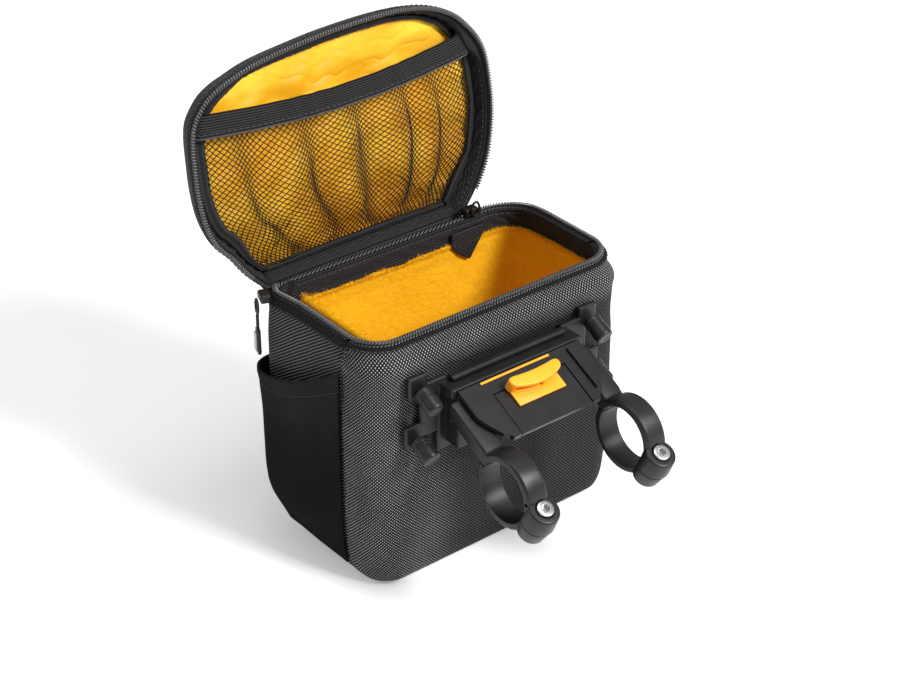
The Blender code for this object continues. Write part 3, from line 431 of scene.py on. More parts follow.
def piece(name, verts, faces, looks, slot, uvs=None, material_ids=None):
    """One mesh piece that rides on the bag; uvs are per vertex, in metres."""
    mesh = bpy.data.meshes.new(name)
    mesh.from_pydata([tuple(v) for v in np.asarray(verts)], [], [tuple(int(i) for i in f) for f in faces])
    for item in looks.split():
        mesh.materials.append(LOOKS[item])
    if material_ids is not None:
        mesh.polygons.foreach_set("material_index", np.asarray(material_ids, dtype=np.int32))
    layer = mesh.uv_layers.new(name="cloth")
    if uvs is not None:
        index = np.empty(len(mesh.loops), dtype=np.int32)
        mesh.loops.foreach_get("vertex_index", index)
        layer.data.foreach_set("uv", np.asarray(uvs, dtype=np.float32)[index].ravel())
    mesh.polygons.foreach_set("use_smooth", [True] * len(mesh.polygons))
    mesh.update()
    made = bpy.data.objects.new(name, mesh)
    bpy.context.scene.collection.objects.link(made)
    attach(made, "bag")
    return made


def grid_faces(rows, columns, wrap_columns=False, wrap_rows=False):
    """Quads over stacked rows of vertices, closed either way where asked."""
    faces = []
    last_row = rows if wrap_rows else rows - 1
    last_column = columns if wrap_columns else columns - 1
    for r in range(last_row):
        for c in range(last_column):
            a = r * columns + c
            b = r * columns + (c + 1) % columns
            d = ((r + 1) % rows) * columns + c
            e = ((r + 1) % rows) * columns + (c + 1) % columns
            faces.append((a, b, e, d))
    return faces


def capped_faces(rows, columns):
    """Faces of stacked closed rings with both ends filled."""
    last = (rows - 1) * columns
    return grid_faces(rows, columns, wrap_columns=True) + [
        tuple(range(columns))[::-1], tuple(range(last, last + columns))]


def side_caps(rows, columns):
    """The two end faces of rows that close on each other but not on themselves."""
    return [tuple(k * columns for k in range(rows)),
            tuple(k * columns + columns - 1 for k in range(rows))[::-1]]


def capped(rows):
    """Vertices and faces of stacked closed rings with both ends filled."""
    return np.vstack(rows), capped_faces(len(rows), len(rows[0]))


def closed_strip(rows, turned=False):
    """Vertices and faces of rows that close on each other, with both sides filled."""
    faces = grid_faces(len(rows), len(rows[0]), wrap_rows=True)
    if turned:
        faces = [face[::-1] for face in faces]
    return np.vstack(rows), faces + side_caps(len(rows), len(rows[0]))


def row_uv(around, heights):
    """Vertex uvs for stacked rows: length along the row and a height for each, in metres."""
    return np.vstack([np.column_stack([around, np.full(len(around), high)]) for high in heights])


def path_lengths(points):
    """Length along a row of points, starting at zero."""
    points = np.asarray(points)
    steps = np.linalg.norm(np.diff(points, axis=0), axis=1)
    return np.concatenate([[0.0], np.cumsum(steps)])


def at_lengths(points, lengths, spots):
    """Points at the given lengths along a path."""
    return np.stack([np.interp(spots, lengths, points[:, k]) for k in range(points.shape[1])], axis=1)


def resample(points, step):
    """The path again, with its points about a step apart."""
    lengths = path_lengths(points)
    return at_lengths(points, lengths, np.linspace(0, lengths[-1], max(int(lengths[-1] / step), 2)))


def spline(points, count, closed=False):
    """count points spaced evenly along a smooth curve through the given points."""
    points = np.asarray(points, dtype=float)
    if closed:
        ring = np.vstack([points[-2:], points, points[:3]])
    else:
        ring = np.vstack([2 * points[0] - points[1], points, 2 * points[-1] - points[-2]])
    dense = []
    start = 2 if closed else 1
    for i in range(start, start + len(points) if closed else len(ring) - 2):
        p0, p1, p2, p3 = ring[i - 1], ring[i], ring[i + 1], ring[min(i + 2, len(ring) - 1)]
        for t in np.linspace(0, 1, 16, endpoint=False):
            dense.append(0.5 * (
                2 * p1 + (p2 - p0) * t + (2 * p0 - 5 * p1 + 4 * p2 - p3) * t ** 2
                + (3 * p1 - p0 - 3 * p2 + p3) * t ** 3
            ))
    dense.append(points[0] if closed else points[-1])
    dense = np.array(dense)
    lengths = path_lengths(dense)
    wanted = np.linspace(0, lengths[-1], count, endpoint=not closed)
    return at_lengths(dense, lengths, wanted)


def frames_along(points, up):
    """Unit directions along, across and up for a path with a rough up direction."""
    ways = np.gradient(points, axis=0)
    ways = unit(ways)
    up = np.broadcast_to(np.asarray(up, dtype=float), points.shape)
    across = np.cross(ways, up)
    across = unit(across)
    tops = np.cross(across, ways)
    return ways, across, tops


def tube_arrays(points, radius, sides=4, up=(0, 0, 1)):
    """Vertices and faces of a tube along points; radius may vary along it."""
    points = np.asarray(points, dtype=float)
    _, across, tops = frames_along(points, up)
    radius = np.broadcast_to(np.asarray(radius, dtype=float), (len(points),))
    angles = np.arange(sides) * 2 * math.pi / sides
    ring = (
        across[:, None, :] * np.cos(angles)[None, :, None]
        + tops[:, None, :] * np.sin(angles)[None, :, None]
    )
    verts = points[:, None, :] + ring * radius[:, None, None]
    faces = capped_faces(len(points), sides)
    return verts.reshape(-1, 3), faces


def sew(name, parts, slot="black_tape", on_lid=False):
    """One piece of thread from rows of stitches."""
    verts, faces = merge(parts)
    piece(name, lid_world(verts) if on_lid else verts, faces, "thread", slot)


def merge(parts):
    """Joins (verts, faces) pairs into one."""
    verts = []
    faces = []
    offset = 0
    for part_verts, part_faces in parts:
        verts.append(part_verts)
        faces.extend(tuple(i + offset for i in face) for face in part_faces)
        offset += len(part_verts)
    return np.concatenate(verts), faces


def stitches(points, normals, length, gap, radius):
    """A row of short thread stitches along a path, lying on the cloth with sunk ends."""
    lengths = path_lengths(points)
    parts = []
    start = gap
    while start + length < lengths[-1]:
        spots = np.linspace(start, start + length, 5)
        line = at_lengths(points, lengths, spots)
        out = at_lengths(normals, lengths, spots)
        rise = np.array([-0.9, 0.35, 0.7, 0.35, -0.9]) * radius
        parts.append(tube_arrays(line + out * rise[:, None], radius, 5, out.mean(axis=0)))
        start += length + gap
    return merge(parts)


def helix(points, coil_radius, wire_radius, pitch, up, turns_steps, sides):
    """A zip coil: one wire wound round a path, a little flattened."""
    lengths = path_lengths(points)
    count = int(lengths[-1] / pitch) * turns_steps
    spots = np.linspace(0, lengths[-1], count)
    line = at_lengths(points, lengths, spots)
    smooth_up = np.broadcast_to(np.asarray(up, dtype=float), points.shape)
    ups = at_lengths(smooth_up, lengths, spots)
    _, across, tops = frames_along(line, ups)
    angle = spots / pitch * 2 * math.pi
    wound = (
        line + across * (np.cos(angle) * coil_radius)[:, None]
        + tops * (np.sin(angle) * coil_radius * 0.8)[:, None]
    )
    return tube_arrays(wound, wire_radius, sides, ups + 0.3 * across)


# The bag's outline, finer and smoother than in the solids

def table(column, share):
    """A column of SECTIONS read at a share of the height, through a shape-keeping cubic."""
    xs = SECTIONS[:, 0]
    ys = SECTIONS[:, column]
    steps = np.diff(ys) / np.diff(xs)
    slopes = np.zeros(len(xs))
    for i in range(1, len(xs) - 1):
        if steps[i - 1] * steps[i] > 0:
            slopes[i] = 2 * steps[i - 1] * steps[i] / (steps[i - 1] + steps[i])
    slopes[0] = steps[0]
    slopes[-1] = steps[-1]
    share = np.clip(share, xs[0], xs[-1])
    i = int(np.clip(np.searchsorted(xs, share) - 1, 0, len(xs) - 2))
    width = xs[i + 1] - xs[i]
    t = (share - xs[i]) / width
    return (
        ys[i] * (1 + 2 * t) * (1 - t) ** 2 + slopes[i] * width * t * (1 - t) ** 2
        + ys[i + 1] * t * t * (3 - 2 * t) + slopes[i + 1] * width * t * t * (t - 1)
    )


def smooth_step(value):
    value = np.clip(value, 0.0, 1.0)
    return value * value * (3 - 2 * value)


def rim_dip(height, y):
    """How far the wall's upper part slopes down towards the hinge."""
    rise = smooth_step((height / BAG_HEIGHT - 0.6) / 0.4)
    return RIM_DROP * rise * smooth_step((y / BAG_DEPTH - 0.1) / 0.35)


# Counts of outline points: steps in a corner, places along the long walls, and along a side
# before its seam; then the seam's own places, as shares of the side
CORNER = 12
NEAR_WALL = 40
FAR_WALL = 34
BEFORE_SEAM = 13
NEAR_SEAM = np.array([-0.03, -0.014, -0.005, 0.0, 0.005, 0.014, 0.03])


def corner_arc(cx, cy, radius, start):
    """Quarter circle from a start angle in degrees."""
    angles = np.radians(start + np.linspace(0, 90, CORNER + 1))
    return np.stack([cx + radius * np.cos(angles), cy + radius * np.sin(angles)], axis=1)


def straight(start, end, shares):
    shares = np.asarray(shares)[:, None]
    return np.asarray(start) * (1 - shares) + np.asarray(end) * shares


def outline(height, inset):
    """Closed outline from the far-left corner's start, anticlockwise: (n, 2)."""
    share = height / BAG_HEIGHT
    half = table(1, share) * BAG_WIDTH / 2 - inset
    near = table(2, share) * BAG_DEPTH + inset
    far = table(3, share) * BAG_DEPTH - inset
    near_r = max(table(4, share) * BAG_DEPTH - inset, 0.001)
    far_base = table(5, share) * BAG_DEPTH
    right_r = max(far_base - inset, 0.001)
    left_r = max(far_base * LEFT_FAR_SHARE - inset, 0.001)
    far_left = far + FAR_SKEW / 2
    far_right = far - FAR_SKEW / 2
    left_far = corner_arc(-half + left_r, far_left - left_r, left_r, 90)
    left_near = corner_arc(-half + near_r, near + near_r, near_r, 180)
    right_near = corner_arc(half - near_r, near + near_r, near_r, 270)
    right_far = corner_arc(half - right_r, far_right - right_r, right_r, 0)
    seam = (SEAM_Y - left_far[-1][1]) / (left_near[0][1] - left_far[-1][1])
    shares_left = np.concatenate([
        np.linspace(0, seam - 0.05, BEFORE_SEAM + 1)[1:], seam + NEAR_SEAM, [seam + 0.06]])
    left = straight(left_far[-1], left_near[0], shares_left)
    back_seam = (right_near[-1][1] - SEAM_Y) / (right_near[-1][1] - right_far[0][1])
    shares_right = np.concatenate([
        [back_seam - 0.06], back_seam + NEAR_SEAM, np.linspace(back_seam + 0.05, 1, BEFORE_SEAM + 1)[:-1]])
    right = straight(right_near[-1], right_far[0], shares_right)
    near_wall = straight(left_near[-1], right_near[0], np.linspace(0, 1, NEAR_WALL + 2)[1:-1])
    far_wall = straight(right_far[-1], left_far[0], np.linspace(0, 1, FAR_WALL + 2)[1:-1])
    return np.vstack([left_far, left, left_near, near_wall, right_near, right, right_far, far_wall])


# Where each run of the outline starts, and the points that lie on the two side seams
ARC = CORNER + 1
SIDE_RUN = BEFORE_SEAM + len(NEAR_SEAM) + 1
MID_SEAM = len(NEAR_SEAM) // 2
SEAM_LEFT = ARC + BEFORE_SEAM + MID_SEAM
NEAR_LEFT = ARC + SIDE_RUN
RIGHT_START = NEAR_LEFT + ARC + NEAR_WALL + ARC
SEAM_RIGHT = RIGHT_START + 1 + MID_SEAM
FAR_START = RIGHT_START + SIDE_RUN + ARC


def ring(height, inset, lift=0.0):
    """Closed ring of points (n, 3) round the bag at a height, moved inwards by inset."""
    flat = outline(height, inset)
    z = height + lift - rim_dip(height, flat[:, 1])
    return np.column_stack([flat, z])


def outward_of(rows):
    """Unit directions pointing out of the bag at each point of a ring."""
    ahead = np.roll(rows, -1, axis=0) - np.roll(rows, 1, axis=0)
    out = np.column_stack([ahead[:, 1], -ahead[:, 0], np.zeros(len(rows))])
    return unit(out)


def bell(value, centre, width):
    return np.exp(-((value - centre) / width) ** 2)


# Bag body

def gathers(around, pitch, sway, rate):
    """Uneven puckers of sewn cloth, -1..1, about a pitch apart."""
    return np.sin(around * 2 * math.pi / pitch + sway * np.sin(around * rate))


def ring_uv(rows, heights):
    """Vertex uvs for stacked rings: length round the middle ring and up the wall, in metres."""
    return row_uv(path_lengths(rows[len(rows) // 2]), heights)


def make_shell():
    """Outer cloth skin: coarse weave towards the rider, fine ribbed cloth on the sides and back."""
    heights = np.concatenate([
        np.linspace(0.0, 0.012, 9), np.linspace(0.012, 0.100, 36)[1:],
        np.linspace(0.100, RIM, 40)[1:],
    ])
    outer = []
    for height in heights:
        row = ring(height, 0.0)
        out = outward_of(row)
        x, y = row[:, 0], row[:, 1]
        groove = bell(y, SEAM_Y, 0.0011) * (np.abs(x) > 0.5 * BAG_WIDTH * 0.8)
        fold = bell(y, SEAM_Y - 0.0022, 0.0012) * (np.abs(x) > 0.5 * BAG_WIDTH * 0.8)
        fade = smooth_step((height - 0.004) / 0.01)
        ridge = bell(height, RIM - 0.0125, 0.0035) * 0.0009 + bell(height, RIM - 0.0066, 0.0022) * -0.0006
        pucker = smooth_noise(row, 55.0, 1.0) * 0.0005 * fade
        waist = -0.0010 * bell(height, RIM - 0.030, 0.012) * (y < 0)
        base_flat = smooth_step(height / 0.006)
        under = smooth_step((RIM - 0.0040 - height) / 0.004)
        sewn = (0.0006 * fold - 0.0008 * groove) * under
        push = (sewn + ridge * (y < -0.02) + pucker + waist) * base_flat
        outer.append(row + out * push[:, None])
    high = heights[-18]
    inner_heights = np.concatenate([
        heights[::-1][:18], np.linspace(high, 0.020, 26)[1:], np.linspace(0.020, WALL, 12)[1:],
    ])
    rows = outer + [ring(height, WALL) for height in inner_heights]
    columns = len(rows[0])
    uvs = ring_uv(rows, np.concatenate([heights, np.full(len(inner_heights), RIM + 0.003)]))
    one_row = [0 if SEAM_LEFT <= c < SEAM_RIGHT else 1 for c in range(columns)]
    ids = one_row * (len(rows) - 1) + [1, 1]
    made = piece("bag_cloth", *capped(rows), "ballistic ribbed", "ballistic_cloth", uvs, ids)
    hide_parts("shell")


def make_seams():
    """Piping-like stitched seams down the bag's sides where the two cloths meet."""
    parts = []
    for index in (SEAM_LEFT + MID_SEAM, SEAM_RIGHT - MID_SEAM):
        line = []
        normals = []
        for height in np.linspace(0.010, RIM - 0.008, 60):
            row = ring(height, 0.0)
            out = outward_of(row)
            line.append(row[index] + out[index] * 0.0004)
            normals.append(out[index])
        parts.append(stitches(np.array(line), np.array(normals), 0.0024, 0.0011, 0.00022))
    sew("side_seam_stitches", parts)


def make_lining():
    """Fleece tub with soft lumps and a ragged cut edge under the tape; returns its upper edge."""
    inset = WALL + GAP
    top = RIM - RIM_FACING_HEIGHT
    heights = np.concatenate([np.linspace(inset, 0.02, 8), np.linspace(0.02, top, 46)[1:]])
    outer = [ring(height, inset) for height in heights]
    inner = []
    for height in heights[::-1]:
        row = ring(max(height, inset + LINING), inset + LINING)
        out = outward_of(row)
        lumps = smooth_noise(row, 120.0, 2.0) * 0.0004 + smooth_noise(row, 40.0, 3.0) * 0.0006
        edge = smooth_step((top - height) / 0.004)
        inner.append(row - out * ((lumps + 0.0002) * edge)[:, None])
    plan = ring(top, inset + LINING)
    ragged = 0.0007 + 0.0011 * smooth_noise(plan, 170.0, 41.0) + 0.0006 * smooth_noise(plan, 520.0, 42.0)
    lips = []
    for rise, stand in ((0.55, 0.0002), (1.0, 0.0005), (1.0, 0.0012), (0.5, 0.0014), (0.0, 0.0013)):
        lip = ring(top, inset + LINING + stand)
        lip[:, 2] += rise * np.maximum(ragged, -0.0006) + 0.0004 * (rise > 0.9)
        lips.append(lip)
    for index in range(4):
        inner[index] = inner[index] - outward_of(inner[index]) * (0.0012 * (1 - index / 4))
    rows = outer + lips + inner
    lines = [heights, top + 0.0005 * np.arange(1, len(lips) + 1), 2 * top + 0.003 - heights[::-1]]
    uvs = ring_uv(rows, np.concatenate(lines))
    made = piece("fleece_lining", *capped(rows), "fleece", "yellow_fleece", uvs)
    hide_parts("lining")
    return lips[2]


def fibres(name, roots, normals, count, length, spread, seed):
    """Thousands of short thin fleece fibres standing off a line or patch of points."""
    state = np.random.default_rng(seed)
    pick = state.integers(0, len(roots) - 1, count)
    share = state.random(count)[:, None]
    base = roots[pick] * (1 - share) + roots[pick + 1] * share
    out = normals[pick]
    jump = np.linalg.norm(roots[pick + 1] - roots[pick], axis=1)
    keep = jump < 0.02
    base, out = base[keep], out[keep]
    count = len(base)
    base = base + state.normal(0, spread, (count, 3)) * 0.5
    way = out + state.normal(0, 0.75, (count, 3))
    way = unit(way)
    size = length * state.uniform(0.5, 1.3, count)[:, None]
    curl = state.normal(0, 0.35, (count, 3))
    side = np.cross(way, state.normal(0, 1, (count, 3)))
    side = unit(side)
    foot_half = side * 0.00010
    mid_half = side * 0.00008
    mid = base + way * size * 0.55
    tip = base + (way + curl) * size
    verts = np.stack([base - foot_half, base + foot_half, mid - mid_half, mid + mid_half, tip], axis=1)
    first = np.arange(count)[:, None] * 5
    quads = (first + np.array([[0, 1, 3, 2]])).tolist()
    tris = (first + np.array([[2, 3, 4]])).tolist()
    flat = verts.reshape(-1, 3)
    uvs = np.column_stack([flat[:, 0] + flat[:, 1], flat[:, 2]])
    piece(name, flat, quads + tris, "fleece", "yellow_fleece", uvs)


def make_divider():
    """Fleece-covered board across the bag, soft-edged, with one rounded upper corner."""
    place = -0.060
    thickness = 0.005
    clear = WALL + LINING + 3 * GAP
    near = SECTIONS[5][2] * BAG_DEPTH + clear
    far = SECTIONS[5][3] * BAG_DEPTH + FAR_SKEW / 2 - clear
    foot = clear + 0.002
    top = 0.905 * BAG_HEIGHT
    radius = 0.020
    corner = [(near + radius - radius * math.sin(a), top - radius + radius * math.cos(a))
              for a in np.linspace(0, math.pi / 2, 7)]
    toe = 0.030
    heel = 0.038
    points = [(far - 0.004, top), (far - 0.0008, top - 0.004), (far, top - 0.012), (far, foot + heel + 0.02),
              (far, foot + heel), (far - 0.3 * heel, foot + 0.35 * heel), (far - heel, foot),
              ((near + far) / 2 - 0.01, foot),
              (near + 0.14 * toe, foot), (near + 0.05 * toe, foot + 0.35 * toe), (near, foot + toe),
              (near, foot + toe + 0.03)] + corner[::-1] + [((near + far) / 2, top)]
    edge = spline(points, 150, closed=True)
    middle = edge.mean(axis=0)
    rows = []
    profile = [(0.20, 1.0), (0.5, 1.0), (0.8, 1.0), (0.93, 1.0), (0.975, 0.92), (0.995, 0.6), (1.0, 0.0),
               (0.995, -0.6), (0.975, -0.92), (0.93, -1.0), (0.8, -1.0), (0.5, -1.0), (0.20, -1.0)]
    for shrink, side in profile:
        loop = middle + (edge - middle) * shrink
        x = np.full(len(loop), place + side * thickness / 2 * 0.96)
        row = np.column_stack([x, loop])
        row[:, 0] += smooth_noise(row, 110.0, 4.0) * 0.0003 * np.sign(side)
        rows.append(row)
    verts, faces = capped(rows)
    uvs = verts[:, [1, 2]] + verts[:, [0]]
    made = piece("fleece_divider", verts, faces, "fleece", "yellow_fleece", uvs)
    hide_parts("divider")
    centre = np.array([place, 0, 0.07])
    upper = np.column_stack([np.full(len(edge), place), edge])
    upper = upper[upper[:, 2] > 0.055]
    upper = upper[np.argsort(np.arctan2(upper[:, 2] - centre[2], upper[:, 1]))]
    fibres("divider_fuzz", upper, unit(upper - centre), 5200, 0.0012, 0.0022, 21)


def make_rim_facing():
    """Zip tape turned down inside the rim, drawn into small puckers along its sewn line."""
    low = RIM - RIM_FACING_HEIGHT + GAP
    outside = WALL + GAP
    inside = outside + LINING
    heights = np.linspace(low, RIM, 22)
    outer = [ring(height, outside) for height in heights]
    inner = []
    for height in heights[::-1]:
        row = ring(height, inside)
        out = outward_of(row)
        share = (height - low) / (RIM - low)
        around = path_lengths(row)
        pucker = 0.0006 * gathers(around, 0.0115, 2.2, 61.0) * bell(share, 0.45, 0.28)
        crease = 0.0005 * smooth_noise(row, 130.0, 5.0) * bell(share, 0.5, 0.35)
        fold = -0.0007 * bell(share, 0.84, 0.05) + 0.0005 * bell(share, 0.10, 0.08)
        inner.append(row - out * (pucker + crease + fold)[:, None])
    rows = outer + inner
    uvs = ring_uv(rows, np.concatenate([heights, 2 * RIM - heights[::-1]]))
    faces = grid_faces(len(rows), len(rows[0]), wrap_columns=True, wrap_rows=True)
    made = piece("rim_tape_inside", np.vstack(rows), faces, "tape", "black_tape", uvs)
    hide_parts("rim_facing")
    line = ring(RIM - RIM_FACING_HEIGHT * 0.20, inside - 0.0002)
    low_line = ring(low + 0.0018, inside - 0.0004)
    sew("rim_tape_stitches", [
        stitches(line, -outward_of(line), 0.0022, 0.0009, 0.0002),
        stitches(low_line, -outward_of(low_line), 0.0024, 0.0010, 0.0002),
    ])


def rim_run(height, inset, lift=0.0):
    """The open run of the rim that the zip follows, past the far-right corner."""
    row = ring(height, inset, lift)
    return np.vstack([row[5:FAR_START + 1], row[FAR_START + 2]])


def make_rim_band():
    """Smooth band outside the rim, where the zip is sewn on, with its row of stitches."""
    low = RIM - RIM_BAND_HEIGHT
    profile = ((0.00, 0.0), (0.02, 0.8), (0.22, 1.0), (0.56, 1.1), (0.82, 1.0), (1.00, 0.7), (1.00, 0.0))
    plan = rim_run(low, 0.0)
    narrow = smooth_step((-0.020 - plan[:, 1]) / 0.016)
    drops = RIM_BAND_HEIGHT * (1 - narrow) + RIM_BAND_NEAR * narrow
    rows = []
    for share, stand in profile:
        lower = rim_run(low, -GAP - TAPE * stand)
        upper = rim_run(RIM, -GAP - TAPE * stand)
        mix = (1 - (1 - share) * drops / RIM_BAND_HEIGHT)[:, None]
        rows.append(lower * (1 - mix) + upper * mix)
    wobble = smooth_noise(rows[2], 60.0, 6.0) * 0.00025
    out = outward_of(rows[2])
    for k in (1, 2, 3, 4):
        rows[k] = rows[k] + out * np.maximum(wobble, -0.0002)[:, None]
    uvs = row_uv(path_lengths(rows[2]), 0.0015 * np.arange(len(rows)))
    made = piece("rim_zip_band", *closed_strip(rows), "plain", "black_tape", uvs)
    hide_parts("rim_band")
    sew("rim_band_stitches", [stitches(rows[2] + out * 0.0001, out, 0.0022, 0.0009, 0.0002)])


def zip_coil(name, node, path, up, sink, on_lid=False):
    """A wound coil with the cord inside it, along a path."""
    path = resample(path, 0.0015)
    wire = helix(path, COIL * 0.78, COIL * 0.30, 0.00155, up, turns_steps=10, sides=5)
    core = tube_arrays(path + COIL * 0.36 * np.array(sink), COIL * 0.44, 6, up)
    verts, faces = merge([wire, core])
    made = piece(name, lid_world(verts) if on_lid else verts, faces, "coil", "zip_coil")
    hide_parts(node)


# Side pockets

POCKET_LOW = 0.060
POCKET_TOP = 0.665
POCKET_WALL = 0.0012
POCKET_BULGE = 0.0045
POCKET_MOUTH = 0.0020
POCKET_STAND = 0.0008
POCKET_RISE = 0.0280
POCKET_DIP = 0.0060
POCKET_END = -0.26 * BAG_DEPTH


def pocket_path(height, side, count):
    """The bag's side from the seam near the rider round the far corner, count points."""
    flat = outline(height, 0.0)
    if side < 0:
        run = flat[:NEAR_LEFT][::-1]
    else:
        run = flat[RIGHT_START - 1:FAR_START]
    inside = run[:, 1] > POCKET_END
    first = int(np.argmax(inside))
    a, b = run[first - 1], run[first]
    share = (POCKET_END - a[1]) / (b[1] - a[1])
    run = np.vstack([a + (b - a) * share, run[first:]])
    lengths = path_lengths(run)
    return at_lengths(run, lengths, np.linspace(0, lengths[-1], count))


def pocket_surface(side, rows, columns):
    """Rows of points of the pocket's inner face, from its foot to its sloping mouth."""
    out_rows = []
    for up in np.linspace(0, 1, rows):
        share = POCKET_LOW + (POCKET_TOP - POCKET_LOW) * up
        level = share * BAG_HEIGHT
        foot = smooth_step(up / 0.25)
        mouth = smooth_step((up - 0.7) / 0.3)
        lift = smooth_step((up - 0.42) / 0.58)
        along = np.linspace(0, 1, columns)
        across = np.sin(math.pi * along)
        height = level + (POCKET_RISE * (1 - along) - POCKET_DIP * across) * lift
        bulge = POCKET_BULGE * foot + POCKET_MOUTH * mouth
        stand = POCKET_STAND + bulge * across ** 0.6
        row = []
        for k in range(columns):
            path = pocket_path(height[k], side, columns)
            before = path[max(k - 1, 0)]
            after = path[min(k + 1, columns - 1)]
            way = (after - before) / np.linalg.norm(after - before)
            normal = np.array([way[1], -way[0]]) if side > 0 else np.array([-way[1], way[0]])
            row.append((path[k][0] + normal[0] * stand[k], path[k][1] + normal[1] * stand[k], height[k]))
        out_rows.append(np.array(row))
    return out_rows


def make_pocket(name, side, node):
    """Stretch-knit pocket with a rolled hem, slack below its mouth and tight at its foot."""
    rows, columns = 44, 64
    inner = []
    outer = []
    normals = []
    for up, back in zip(np.linspace(0, 1, rows), pocket_surface(side, rows, columns)):
        ahead = np.gradient(back, axis=0)
        out = unit(side * np.column_stack([ahead[:, 1], -ahead[:, 0], np.zeros(columns)]))
        slack = bell(up, 0.62, 0.22) * np.sin(math.pi * np.linspace(0, 1, columns))
        folds = smooth_noise(back, 48.0, 8.0 + side) * 0.0012 * slack
        pull = 0.0003 * smooth_noise(back, 140.0, 17.0 + side) * smooth_step((0.2 - up) / 0.2)
        hem = 0.0005 * bell(up, 0.985, 0.03) - 0.0004 * bell(up, 0.91, 0.012)
        normals.append(out)
        outer.append(back + out * (POCKET_WALL + folds + pull + hem)[:, None])
        inner.append(back + out * (folds * 0.8)[:, None])
    top_round = (inner[-1] + outer[-1]) / 2 + np.array([0, 0, 0.0006])
    bottom = (inner[0] + outer[0]) / 2 - np.array([0, 0, 0.0003])
    stack = outer + [top_round] + inner[::-1] + [bottom]
    around = path_lengths(outer[rows // 2])
    line = np.concatenate([np.linspace(0, 0.087, rows), [0.088], np.linspace(0.089, 0.176, rows), [0.177]])
    made = piece(name, *closed_strip(stack, side < 0), "knit", "stretch_knit", row_uv(around, line))
    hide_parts(node)
    hem_row = int(rows * 0.90)
    out = normals[hem_row]
    sew(name + "_hem_stitches", [stitches(outer[hem_row] + out * 0.0001, out, 0.0020, 0.0010, 0.00018)],
        "stretch_knit")


# Lid

LID_FOOT_PLACE = Matrix.Translation((LID_SHIFT, 0.512 * BAG_DEPTH, RIM - RIM_DROP))
LID_FRAME = LID_FOOT_PLACE @ Matrix.Rotation(-LID_TILT, 4, "X")
LID_TURN = np.array(LID_FRAME)[:3, :3]
LID_PLACE = np.array(LID_FRAME)[:3, 3]


def lid_world(points):
    """Points of the lid's own frame, placed on the open lid."""
    return np.asarray(points) @ LID_TURN.T + LID_PLACE


LID_EDGE_COUNT = 190


def lid_edge():
    """Smooth lid outline as (x, z), up the left side, over the top and down the right side."""
    points = LID_OUTLINE * [LID_WIDTH / 2, LID_LENGTH] - [0, LID_FOOT]
    smooth = spline(points, LID_EDGE_COUNT)
    foot = np.linspace(smooth[-1], smooth[0], 40)[1:-1]
    return np.vstack([smooth, foot])


LID_EDGE = lid_edge()
LID_MIDDLE = np.array([0.0, LID_LENGTH / 2 - LID_FOOT])


def lid_loop(inset, y, shrink=1.0):
    """Closed ring (n, 3) in the lid's own frame, moved inwards by inset."""
    before = unit(LID_EDGE - np.roll(LID_EDGE, 1, axis=0))
    after = unit(np.roll(LID_EDGE, -1, axis=0) - LID_EDGE)
    inward = unit(np.column_stack([before[:, 1] + after[:, 1], -before[:, 0] - after[:, 0]]))
    reach = inset / np.maximum(inward[:, 0] * after[:, 1] - inward[:, 1] * after[:, 0], 0.5)
    moved = LID_MIDDLE + (LID_EDGE + inward * reach[:, None] - LID_MIDDLE) * shrink
    return np.column_stack([moved[:, 0], np.full(len(moved), y), moved[:, 1]])


def lid_limits(z, inset):
    """Left and right limits of the lid at height z, inside the inset."""
    loop = lid_loop(inset, 0.0)[:LID_EDGE_COUNT]
    xs, zs = loop[:, 0], loop[:, 2]
    crossings = []
    for i in range(len(xs) - 1):
        if min(zs[i], zs[i + 1]) <= z <= max(zs[i], zs[i + 1]) and abs(zs[i + 1] - zs[i]) > 1e-9:
            crossings.append(xs[i] + (xs[i + 1] - xs[i]) * (z - zs[i]) / (zs[i + 1] - zs[i]))
    if not crossings:
        return xs[0], xs[-1]
    return min(crossings), max(crossings)


def lid_profile(depth_share):
    """Inset of the lid's skirt at a share of its depth, read between the rows of LID_PROFILE."""
    return float(np.interp(depth_share, *zip(*LID_PROFILE[::-1])))


def lid_outward(row):
    """Unit directions away from the lid's middle, level with each point of a row."""
    out = row - np.array([0, row[0, 1], LID_MIDDLE[1]])
    return out / np.maximum(np.linalg.norm(out, axis=1), 1e-6)[:, None]


def lid_inward(row):
    """Unit directions (x, z) towards the lid's middle."""
    return unit(LID_MIDDLE - row[:, [0, 2]])


